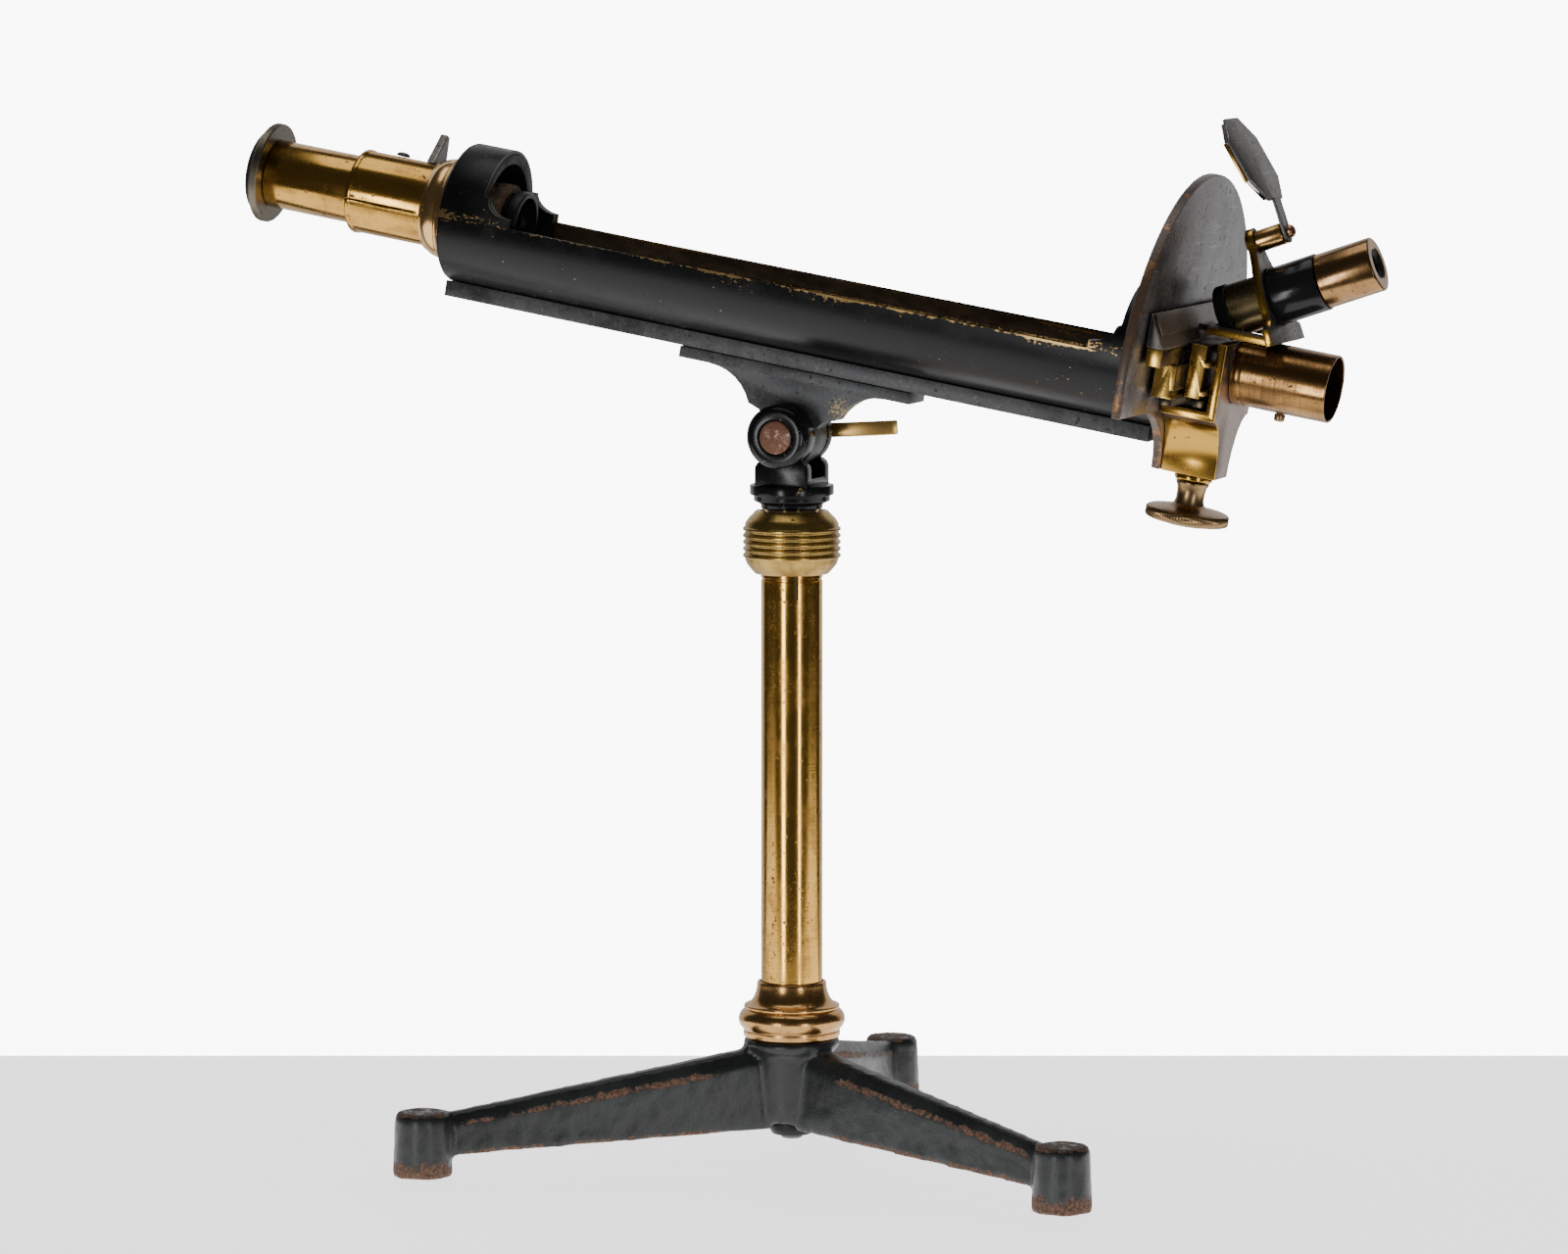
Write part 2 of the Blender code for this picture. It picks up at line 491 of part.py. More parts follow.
def slide_parts(optics):
    """Two wedge slides that move oppositely across the beam, each with a rack and a quartz wedge."""
    low, window, wedge_half = -10.0 * MM, 5.2 * MM, 20.0 * MM
    frames = {"a": empty("slide_a_axis", parent=optics), "b": empty("slide_b_axis", parent=optics)}
    middle_a, middle_b = -SLIDE_SHIFT, SLIDE_SHIFT
    head_half = 48.0 * MM
    slide_a = block("wedge_slide_a", (142.0 * MM, middle_a - head_half, low),
                    (149.4 * MM, middle_a + head_half, 7.8 * MM), frames["a"], surface="bright_brass")
    notch = block("slide_a_notch", (147.4 * MM, -90 * MM, 1.6 * MM), (152 * MM, 90 * MM, 9 * MM), frames["a"])
    groove = block("slide_a_groove", (148.3 * MM, -90 * MM, -9.0 * MM), (150 * MM, 90 * MM, -6.8 * MM),
                   frames["a"])
    cut(slide_a, notch, groove)
    for number, (start, end) in enumerate(((-90 * MM, middle_a - SLIDE_HALF), (middle_a + SLIDE_HALF, 90 * MM))):
        cut(slide_a, block(f"slide_a_end_{number}", (140 * MM, start, -20 * MM), (152 * MM, end, 1.8 * MM),
                           frames["a"]))
    cut(slide_a, block("window_a", (130 * MM, middle_a - wedge_half, -window),
                       (160 * MM, middle_a + wedge_half, window), frames["a"]))
    slide_b = block("wedge_slide_b", (149.8 * MM, middle_b - SLIDE_HALF, -9.6 * MM),
                    (156.9 * MM, middle_b + SLIDE_HALF, 9.2 * MM), frames["b"], surface="bright_brass")
    for number, (start, end) in enumerate(((-20.0, -8.4), (-6.8, 1.8), (3.4, 20.0))):
        cut(slide_b, block(f"slide_b_step_{number}", (155.2 * MM, -90 * MM, start * MM),
                           (160 * MM, 90 * MM, end * MM), frames["b"]))
    cut(slide_b, block("window_b", (140 * MM, middle_b - wedge_half, -window),
                       (170 * MM, middle_b + wedge_half, window), frames["b"]))
    rack_z, rack_h = -11.6 * MM, 2.4 * MM
    for key, side, middle in (("a", -1, middle_a), ("b", 1, middle_b)):
        depth = 3.4 * MM if key == "a" else 2.9 * MM
        plate(f"rack_{key}", rack_outline(50, depth), rack_h, frames[key],
              at=(PINION_AT + side * PITCH_R, side * 5 * TOOTH, rack_z), turn=(0, 0, side * math.pi / 2),
              surface="brass")
        wedge_parts(key, side, middle, frames[key], wedge_half, window)
    scale_head(frames["a"], middle_a, head_half)


def wedge_parts(key, side, middle, frame, half, window):
    """A quartz wedge that tapers across the beam."""
    centre_s = 145.5 * MM if key == "a" else 152.5 * MM
    thick, thin = 2.4 * MM, 1.0 * MM
    outline = [(-half + GAP, -thick / 2), (half - GAP, -thick / 2), (half - GAP, -thick / 2 + thin),
               (-half + GAP, thick / 2)]
    if side > 0:
        outline = [(-x, -y) for x, y in outline]
    plate(f"quartz_wedge_{key}", outline, 2 * (window - GAP), frame, at=(centre_s, middle, 0),
          turn=(0, 0, math.pi / 2), surface="glass")


def scale_head(frame, middle, half):
    """Three-cornered bar on slide A whose sloping face carries the scale."""
    slope = SIGHT_PITCH
    foot_s, foot_h, rise = 147.4 * MM, 8.1 * MM, 12.6 * MM
    top = (foot_s - rise * math.sin(slope), foot_h + 0.6 * MM + rise * math.cos(slope))
    outline = [(foot_s, foot_h), (foot_s, foot_h + 0.6 * MM), top, (141.4 * MM, foot_h)]
    plate("scale_head", outline, 2 * half, frame, at=(0, middle, 0), turn=(math.pi / 2, 0, 0),
          surface="brown_lacquer")
    across = Vector((math.cos(slope), 0, math.sin(slope)))
    centre = Vector(((foot_s + top[0]) / 2, 0, (foot_h + 0.6 * MM + top[1]) / 2))
    centre += across * 0.7 * MM + Vector((-math.sin(slope), 0, math.cos(slope))) * 1.9 * MM
    block("scale_plate", (-0.4 * MM, -half + 2 * MM, -3.8 * MM), (0.4 * MM, half - 2 * MM, 3.8 * MM), frame,
          at=centre + Vector((0, middle, 0)), turn=(0, -slope, 0), surface="brown_lacquer")


def knob_parts(optics):
    axis = empty("knob_axis", at=(PINION_AT, 0, 0), parent=optics)
    turned("pinion_bush", [(6.8, -39.6), (6.8, -41.2), (6.2, -42.0), (1.8, -42.0), (1.8, -39.6)], optics,
           at=(PINION_AT, 0, 0), surface="brass", sides=32)
    teeth = []
    for number in range(PINION_TEETH):
        angle = 2 * math.pi * number / PINION_TEETH
        for offset, radius in ((-0.30, 1.93), (-0.11, 2.74), (0.11, 2.74), (0.30, 1.93)):
            turn = angle + offset * 2 * math.pi / PINION_TEETH
            teeth.append((radius * MM * math.cos(turn), radius * MM * math.sin(turn)))
    pinion = plate("pinion", teeth, 2.2 * MM, axis, at=(0, 0, -11.6 * MM), surface="steel")
    join(pinion, rod("pinion_shaft", 1.5 * MM, -50.0 * MM, -10.0 * MM, axis, sides=16))
    knob = turned("compensator_knob",
                  [(0, -42.3), (5.9, -42.3), (5.6, -43.6), (5.1, -46.0), (5.2, -49.0), (6.0, -50.6),
                   (9.0, -51.6), (13.8, -52.2), (14.9, -52.7), (14.9, -55.9), (14.3, -56.4), (8.0, -57.6),
                   (0, -58.0)],
                  axis, surface="brass", sides=48)
    cut(knob, rod("knob_bore", 1.8 * MM, -50.5 * MM, -40 * MM, axis, sides=16))


# ---------------------------------------------------------------- telescopes

def telescope_parts(optics):
    """Socket, tube and analyser of the main telescope, whose ocular is missing."""
    turned("telescope_socket", [(12.4, 164.4), (12.4, 161.0), (9.8, 161.0), (9.8, 164.4)], optics,
           turn=ALONG_S, surface="brass", sides=48)
    tube = turned("telescope_tube", [(12.1, 195.8), (12.1, 164.7), (11.3, 164.7), (11.3, 195.8)], optics,
                  turn=ALONG_S, surface="brass", sides=48)
    pin_s = 178.0 * MM
    cut(tube, rod("guide_hole", 1.6 * MM, -20 * MM, 0, optics, at=(pin_s, 0, 0), sides=16))
    turned("guide_screw", [(0, -9.9), (1.3, -9.9), (1.3, -12.4), (1.95, -12.4), (1.95, -14.6), (1.6, -15.0),
                           (0, -15.0)], optics, at=(pin_s, 0, 0), surface="brass", sides=16)
    mount = turned("analyser_mount", [(11.0, 176.0), (11.0, 165.0), (3.0, 165.0), (3.0, 176.0)], optics,
                   turn=ALONG_S, surface="black_lacquer", sides=32)
    cut(mount, block("analyser_pocket", (160 * MM, -4.5 * MM, -4.5 * MM), (180 * MM, 4.5 * MM, 4.5 * MM), optics))
    block("analyser_prism", (165.6 * MM, -4.2 * MM, -4.2 * MM), (175.4 * MM, 4.2 * MM, 4.2 * MM), optics,
          surface="glass")


def reading_parts(optics):
    """Reading telescope on its forked bracket, square to the sloping scale."""
    foot_low, foot_high = 12.7 * MM, 15.2 * MM
    bracket = block("reading_bracket", (152.1 * MM, -20.3 * MM, foot_low), (175.4 * MM, 20.3 * MM, foot_high),
                    optics, surface="bright_brass")
    notch = block("bracket_notch", (140 * MM, -11.4 * MM, 0), (170 * MM, 11.4 * MM, 30 * MM), optics)
    cut(bracket, notch)
    sight = empty("sight_axis", at=(SIGHT_AT[0], 0, SIGHT_AT[1]), turn=(0, -SIGHT_PITCH, 0), parent=optics)
    half = [(20.3 * MM, -16.3 * MM), (20.3 * MM, -10.5 * MM)]
    half += arc((20.3 * MM, -4.5 * MM), (6.3 * MM, 6.0 * MM), 250, 180, 4)
    half += [(13.6 * MM, 1.0 * MM), (11.4 * MM, 7.2 * MM), (7.2 * MM, 13.6 * MM), (5.3 * MM, 18.0 * MM)]
    half += arc((0, 20.4 * MM), (5.2 * MM, 5.2 * MM), 0, 90, 4)
    upright = plate("bracket_upright", mirrored(half), 2.8 * MM, sight, at=(15.8 * MM, 0, 0),
                    turn=(math.pi / 2, 0, math.pi / 2))
    join(bracket, upright)
    bore = rod("bracket_tube_hole", SIGHT_R + GAP, 5 * MM, 30 * MM, sight, turn=ALONG_S, sides=48)
    boss_hole = rod("bracket_boss_hole", 3.9 * MM + GAP, 5 * MM, 30 * MM, sight, at=(0, 0, 20.4 * MM),
                    turn=ALONG_S, sides=24)
    cut(bracket, bore, boss_hole)
    turned("reading_tube", [(10.3, 35.4), (10.3, 13.4), (9.35, 13.4), (9.35, 1.9), (8.3, 1.9), (8.3, 12.0),
                            (9.5, 16.0), (9.5, 35.4)], sight, turn=ALONG_S, surface="black_lacquer", sides=48)
    turned("objective_cell", [(9.5, 1.6), (9.9, 1.2), (9.9, -2.4), (9.4, -2.9), (6.3, -2.9), (6.3, 1.6)],
           sight, turn=ALONG_S, surface="black_lacquer")
    turned("reading_objective", [(0, 1.0), (4.0, 0.7), (6.0, 0.0), (6.0, -1.6), (0, -1.6)], sight,
           turn=ALONG_S, surface="glass", sides=SMALL)
    focus = empty("focus_axis", parent=sight)
    turned("reading_eyepiece",
           [(9.4, 56.4), (9.8, 56.0), (9.8, 35.8), (9.43, 35.6), (9.43, 20.0), (8.6, 20.0), (8.6, 52.0),
            (4.7, 52.0), (4.7, 56.4)], focus, turn=ALONG_S, surface="brass", sides=48)
    turned("eye_lens", [(0, 51.7), (5.2, 51.7), (8.2, 50.4), (8.2, 48.4), (0, 48.4)], focus, turn=ALONG_S,
           surface="glass", sides=SMALL)
    vernier = block("vernier_plate", (-9.5 * MM, -14.0 * MM, -6.6 * MM), (-8.8 * MM, 14.0 * MM, -2.2 * MM), sight,
                    surface="brown_lacquer")
    for side, (start, end) in (("front", (-13.8, -11.6)), ("back", (11.6, 13.8))):
        join(vernier, block(f"vernier_arm_{side}", (147.0 * MM, start * MM, 12.9 * MM),
                            (151.8 * MM, end * MM, 15.0 * MM), optics))
    return sight


def mirror_parts(sight):
    """Lighting mirror on an arm that swings on the boss at the bracket's top."""
    boss_q = 20.4 * MM
    turned("mirror_boss", [(3.5, 27.3), (3.9, 26.9), (3.9, 13.9), (3.5, 13.5), (1.3, 13.5), (1.3, 27.3)], sight,
           at=(0, 0, boss_q), turn=ALONG_S, surface="brass")
    turned("mirror_screw", [(0, 31.4), (1.4, 31.2), (2.4, 30.2), (2.4, 29.1), (1.0, 29.1), (1.0, 18.0), (0, 18.0)],
           sight, at=(0, 0, boss_q), turn=ALONG_S, surface="steel", sides=16)
    swing = empty("mirror_axis", at=(0, 0, boss_q), parent=sight)
    arm_half, arm_mid = 3.9 * MM, 28.2 * MM
    half = [(arm_half, 0), (arm_half, 13.0 * MM)]
    eye = arc((0, 0), (arm_half, arm_half), 270, 360, 5)[:-1]
    arm = plate("mirror_arm", mirrored(eye + half), 1.1 * MM, swing, at=(arm_mid, 0, 0),
                turn=(math.pi / 2, 0, math.pi / 2), surface="steel",
                holes=[ring_points((0, 0), 1.07 * MM, 12)[::-1]])
    lean = math.radians(12.2)
    width, length, chamfer_w, chamfer_l = 17.5 * MM, 16.4 * MM, 9.5 * MM, 8.6 * MM
    octagon = mirrored([(width - chamfer_w, -length), (width, -length + chamfer_l),
                        (width, length - chamfer_l), (width - chamfer_w, length)])
    centre = (24.4 * MM, 0, 48.5 * MM - boss_q)
    turn = (math.pi / 2, 0, math.pi / 2)
    leaf = plate("mirror_leaf", octagon, 1.1 * MM, swing, at=centre, turn=turn)
    leaf.rotation_euler.rotate_axis("X", -lean)
    join(arm, leaf)
    inner = [(x * 0.93, y * 0.93) for x, y in octagon]
    glass = plate("mirror_glass", inner, 1.2 * MM, swing, at=centre, turn=turn, surface="glass")
    glass.rotation_euler.rotate_axis("X", -lean)
    glass.location = Vector(centre) - glass_normal(lean) * 1.45 * MM
    clip_low, clip_high = 0.93 * width + GAP, width
    clip = block("mirror_clip", (clip_low, -length + chamfer_l, -0.6 * MM),
                 (clip_high, length - chamfer_l, 0.6 * MM), swing, at=glass.location, turn=turn,
                 surface="bright_brass")
    clip.rotation_euler.rotate_axis("X", -lean)
    clip.data.transform(mirror_matrix())


def glass_normal(lean):
    return Vector((math.cos(lean), 0, math.sin(lean)))


def mirror_matrix():
    """Turns a block half a turn in its own plane, to the other side."""
    return Matrix.Rotation(math.pi, 4, "Z")


# ---------------------------------------------------------------- assembly

def main():
    for thing in list(bpy.data.objects):
        bpy.data.objects.remove(thing, do_unlink=True)
    bpy.context.scene.collection.children.link(parts)
    bpy.context.scene.collection.children.link(cutters)
    for name, (colour, roughness, metallic) in FINISHES.items():
        finish(name, colour, roughness, metallic)
    stand = empty("pillar_axis", at=(*PILLAR_AT, 0))
    stand_parts(stand)
    collar_parts(stand)
    swivel = post_parts(stand)
    pivot = empty("tilt_axis", at=(0, 0, PIVOT_Z), turn=(0, TILT, 0), parent=swivel)
    bracket_parts(pivot)
    optics = empty("optical_axis", at=(0, 0, AXIS_RISE), parent=pivot)
    trough_parts(optics)
    polariser_parts(optics)
    shield(optics)
    compensator_frame(optics)
    slide_parts(optics)
    knob_parts(optics)
    telescope_parts(optics)
    sight = reading_parts(optics)
    mirror_parts(sight)
    bpy.context.view_layer.update()


main()
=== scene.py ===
"""Looks of the antique polarising saccharimeter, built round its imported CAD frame.

Metres, +Z up.  Sizes in the modelling calls are millimetres, turned into metres by MM.
Each piece is made in the frame of the thing it belongs to: the pillar, the tilting head, the
optical axis or the reading telescope.
"""

import math

import bpy
from mathutils import Matrix, Vector


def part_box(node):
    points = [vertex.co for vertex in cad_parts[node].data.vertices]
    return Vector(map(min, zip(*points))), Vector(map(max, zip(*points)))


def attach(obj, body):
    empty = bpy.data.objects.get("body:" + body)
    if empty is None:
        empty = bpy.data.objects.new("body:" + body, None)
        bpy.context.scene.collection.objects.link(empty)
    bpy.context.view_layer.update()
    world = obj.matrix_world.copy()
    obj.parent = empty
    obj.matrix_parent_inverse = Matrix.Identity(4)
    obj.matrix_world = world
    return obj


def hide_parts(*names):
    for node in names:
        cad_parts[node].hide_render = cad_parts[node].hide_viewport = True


MM = 0.001
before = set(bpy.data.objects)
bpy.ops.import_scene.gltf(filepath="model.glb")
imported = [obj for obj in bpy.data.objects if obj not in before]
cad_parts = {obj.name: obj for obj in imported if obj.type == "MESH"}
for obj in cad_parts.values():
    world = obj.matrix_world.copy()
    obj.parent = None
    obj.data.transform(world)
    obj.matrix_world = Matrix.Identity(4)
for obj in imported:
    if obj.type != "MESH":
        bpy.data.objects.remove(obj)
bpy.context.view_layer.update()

# ---------------------------------------------------------------- frames of the instrument

TILT = math.radians(9.8)  # slope of the instrument, down towards the observer
AXIS_RISE = 55.3 * MM  # optical axis above the tilting pin
SIGHT_PITCH = math.radians(28.4)  # reading telescope against the optical axis
SIGHT_AT = (153.9 * MM, 0, 19.7 * MM)
KNOB_AT = (150.9 * MM, 0, 0)
BOSS_RISE = 20.4 * MM  # mirror's boss above the reading telescope's axis


def middle(node):
    low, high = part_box(node)
    return (low + high) / 2


pillar_at = middle("column_ferrule")
pin_at = middle("tilt_pin")
pillar = Matrix.Translation((pillar_at.x, pillar_at.y, 0))
head = Matrix.Translation((pin_at.x, pillar_at.y, pin_at.z)) @ Matrix.Rotation(TILT, 4, "Y")
pin = Matrix.Translation((pin_at.x, pillar_at.y, pin_at.z)) @ Matrix.Rotation(-math.pi / 2, 4, "X")
axis = head @ Matrix.Translation((0, 0, AXIS_RISE))
SIDEWAYS = Matrix.Rotation(math.pi / 2, 4, "Y")  # a piece turned about Z lies along X
tube = axis @ SIDEWAYS
knob = axis @ Matrix.Translation(KNOB_AT)
sight = axis @ Matrix.Translation(SIGHT_AT) @ Matrix.Rotation(-SIGHT_PITCH, 4, "Y")
sight_tube = sight @ SIDEWAYS
boss = sight @ Matrix.Translation((0, 0, BOSS_RISE)) @ SIDEWAYS


# ---------------------------------------------------------------- shader maths

class Signal:
    """A socket that carries a number or a colour, with arithmetic that adds Math nodes."""

    def __init__(self, finish, socket):
        self.finish = finish
        self.socket = socket

    def math(self, operation, other=0.0, swapped=False, clamp=False):
        first, second = (other, self) if swapped else (self, other)
        settings = {"operation": operation, "use_clamp": clamp}
        return self.finish.node("ShaderNodeMath", settings, {0: first, 1: second})

    def __add__(self, other):
        return self.math("ADD", other)

    def __radd__(self, other):
        return self.math("ADD", other)

    def __sub__(self, other):
        return self.math("SUBTRACT", other)

    def __rsub__(self, other):
        return self.math("SUBTRACT", other, swapped=True)

    def __mul__(self, other):
        return self.math("MULTIPLY", other)

    def __rmul__(self, other):
        return self.math("MULTIPLY", other)

    def __abs__(self):
        return self.math("ABSOLUTE")

    def clamped(self):
        return self.math("ADD", 0.0, clamp=True)


class Finish:
    """One material, made from nodes."""

    def __init__(self, name, colour=(0.5, 0.5, 0.5), roughness=0.4, metallic=0.0, specular=0.5):
        self.material = bpy.data.materials.new(name)
        self.material.use_nodes = True
        self.tree = self.material.node_tree
        self.shader = self.tree.nodes["Principled BSDF"]
        self.shader.inputs["Base Color"].default_value = (*colour, 1)
        self.shader.inputs["Roughness"].default_value = roughness
        self.shader.inputs["Metallic"].default_value = metallic
        self.shader.inputs["Specular IOR Level"].default_value = specular
        self.place = self.node("ShaderNodeTexCoord", {}, {}, output="Object")

    def node(self, kind, settings, values, output=0):
        """Adds a node: its settings first, then the values or links of its sockets."""
        made = self.tree.nodes.new(kind)
        for key, value in settings.items():
            if key == "stops":
                ramp = made.color_ramp
                while len(ramp.elements) < len(value):
                    ramp.elements.new(0.5)
                for element, (position, colour) in zip(ramp.elements, value):
                    element.position = position
                    element.color = (*colour, 1)
            else:
                setattr(made, key, value)
        for key, value in values.items():
            socket = made.inputs[key]
            if isinstance(value, Signal):
                self.tree.links.new(value.socket, socket)
            elif hasattr(socket.default_value, "__len__") and len(socket.default_value) == 4:
                socket.default_value = (*value, 1)
            else:
                socket.default_value = value
        return Signal(self, made.outputs[output])

    def local(self, matrix):
        """Object coordinates as seen from one of the instrument's frames."""
        return self.node("ShaderNodeMapping", {"vector_type": "TEXTURE"},
                         {"Vector": self.place, "Location": matrix.translation,
                          "Rotation": matrix.to_euler()})

    def stretched(self, place, scale):
        return self.node("ShaderNodeMapping", {"vector_type": "POINT"}, {"Vector": place, "Scale": scale})

    def noise(self, place, scale, detail=4.0, rough=0.55, warp=0.0):
        return self.node("ShaderNodeTexNoise", {},
                         {"Vector": place, "Scale": scale, "Detail": detail, "Roughness": rough,
                          "Distortion": warp})

    def parts_of(self, place):
        """The three coordinates of a place, as numbers."""
        split = self.tree.nodes.new("ShaderNodeSeparateXYZ")
        self.tree.links.new(place.socket, split.inputs[0])
        return [Signal(self, split.outputs[i]) for i in range(3)]

    def between(self, value, low, high):
        """0 below low, 1 above high and a smooth step from one to the other."""
        return self.node("ShaderNodeMapRange", {"interpolation_type": "SMOOTHSTEP"},
                         {"Value": value, "From Min": low, "From Max": high})

    def blend(self, factor, first, second):
        """A colour that goes from first to second."""
        return self.node("ShaderNodeMix", {"data_type": "RGBA"}, {0: factor, 6: first, 7: second}, output=2)

    def ramp(self, value, stops):
        return self.node("ShaderNodeValToRGB", {"stops": stops}, {"Fac": value})

    def bump(self, height, distance, strength=1.0):
        """Relief of a height from 0 to 1, in metres."""
        return self.node("ShaderNodeBump", {}, {"Height": height, "Distance": distance, "Strength": strength})

    def wear(self, **signals):
        """Links what changes over the surface: colour, roughness, metallic or normal."""
        sockets = {"colour": "Base Color", "roughness": "Roughness", "metallic": "Metallic",
                   "normal": "Normal"}
        for key, signal in signals.items():
            self.tree.links.new(signal.socket, self.shader.inputs[sockets[key]])
        return self.material


# ---------------------------------------------------------------- finishes

def old_brass(name, matrix, gold, brown, tarnish=0.5, specks=0.5, turned=0.5, shine=0.24):
    """Brass with its lacquer browned in blotches, dark specks and fine lines from turning."""
    finish = Finish(name, metallic=1.0)
    place = finish.local(matrix)
    blotches = finish.noise(place, 70, 5, 0.6, 0.4)
    lines = finish.noise(finish.stretched(place, (1, 1, 34)), 55, 3, 0.6)
    streaks = finish.noise(finish.stretched(place, (1, 1, 0.06)), 330, 2)
    grain = finish.noise(place, 1300, 3, 0.7)
    patina = finish.between(blotches * 0.55 + streaks * 0.25 + lines * 0.2 * turned + 0.1 * turned,
                            0.62 - 0.28 * tarnish, 0.80 - 0.12 * tarnish)
    spots = finish.between(finish.noise(place, 520, 2, 0.5), 0.72 - 0.09 * specks, 0.76 - 0.09 * specks)
    spots = spots * finish.between(finish.noise(place, 60, 2), 0.35, 0.6)
    marks = finish.between(lines, 0.60, 0.72) * turned
    colour = finish.blend(patina, gold, brown)
    colour = finish.blend(marks * 0.45, colour, tuple(c * 0.45 for c in brown))
    colour = finish.blend(spots * 0.8, colour, (0.055, 0.035, 0.018))
    roughness = patina * 0.17 + spots * 0.25 + grain * 0.10 + (shine - 0.05)
    relief = lines * 0.7 * turned + grain * 0.3 - spots * 0.4
    return finish.wear(colour=colour, roughness=roughness, normal=finish.bump(relief, 0.00004, 0.5))


CHIPPED_BRASS = (0.50, 0.34, 0.13)


def black_lacquer(name, base=(0.005, 0.005, 0.006), shine=0.30, chips=0.3, dust=0.35):
    """Black stove lacquer with a faint orange peel, brown dust in the pits and chips to the brass."""
    finish = Finish(name, specular=0.25)
    peel = finish.noise(finish.place, 900, 3, 0.5)
    cloud = finish.noise(finish.place, 45, 5, 0.65)
    nicks = finish.noise(finish.place, 420, 5, 0.75, 0.6)
    chipped = finish.between(nicks + cloud * 0.25, 0.93 - 0.22 * chips, 0.96 - 0.22 * chips)
    dusty = finish.between(cloud, 0.48, 0.75) * dust
    colour = finish.blend(dusty, base, tuple(c + 0.008 for c in base))
    colour = finish.blend(chipped, colour, CHIPPED_BRASS)
    roughness = dusty * 0.25 + peel * 0.12 + shine - 0.03
    relief = peel * 0.35 - chipped
    return finish.wear(colour=colour, metallic=chipped, roughness=roughness,
                       normal=finish.bump(relief, 0.00005, 0.6))


def rubbed_edge(name, metal, dark, amount=0.55, scale=320):
    """Edges where handling has worn a coating through to the metal in places."""
    finish = Finish(name)
    cloud = finish.noise(finish.place, 60, 3, 0.6)
    nicks = finish.noise(finish.place, scale, 5, 0.7)
    bare = finish.between(nicks * 0.6 + cloud * 0.4, 0.62 - 0.22 * amount, 0.68 - 0.22 * amount)
    grain = finish.noise(finish.place, 1500, 2)
    colour = finish.blend(bare, dark, metal)
    return finish.wear(colour=colour, metallic=bare, roughness=grain * 0.2 + 0.28)


def trough_lacquer():
    """The trough's lacquer, worn to brass along its rim and browned inside."""
    finish = Finish("trough_lacquer", specular=0.22)
    place = finish.local(axis)
    _, across, above = finish.parts_of(place)
    peel = finish.noise(place, 800, 3, 0.5)
    cloud = finish.noise(place, 40, 5, 0.65)
    nicks = finish.noise(finish.stretched(place, (0.55, 1, 1)), 900, 5, 0.7, 0.3)
    runs = finish.noise(finish.stretched(place, (0.35, 1, 1)), 190, 5, 0.7)
    rim = finish.between(above, -0.0085, 0.0004) * (1 - finish.between(above, 0.002, 0.004))
    patches = finish.between(finish.noise(finish.stretched(place, (0.5, 1, 1)), 26, 3, 0.6), 0.46, 0.62)
    lip = finish.between(above, -0.0011, -0.0003) * (1 - finish.between(above, 0.002, 0.004))
    rubbed = nicks * 0.62 + runs * 0.2 + rim * 0.15 * patches + rim * 0.03 + lip * 0.11
    worn = finish.between(rubbed, 0.585, 0.615)
    rare = finish.between(nicks * 0.9 + cloud * 0.3, 0.765, 0.785)
    bare = (worn + rare).clamped()
    radius = (across * across + above * above).math("SQRT")
    inside = 1 - finish.between(radius, 0.0247, 0.0250)  # the bore's radius is 24.5 mm
    dust = finish.between(cloud, 0.45, 0.8)
    colour = finish.blend(dust * 0.7, (0.004, 0.004, 0.0045), (0.012, 0.011, 0.010))
    brown = finish.blend(finish.between(runs, 0.35, 0.7), (0.085, 0.060, 0.040), (0.20, 0.145, 0.090))
    colour = finish.blend(inside * 0.95, colour, brown)
    colour = finish.blend(bare, colour, (0.50, 0.33, 0.13))
    roughness = dust * 0.22 + peel * 0.12 + inside * 0.05 + 0.24
    metallic = (bare + inside * 0.15).clamped()
    return finish.wear(colour=colour, metallic=metallic, roughness=roughness,
                       normal=finish.bump(peel * 0.35 - bare, 0.00006, 0.6))


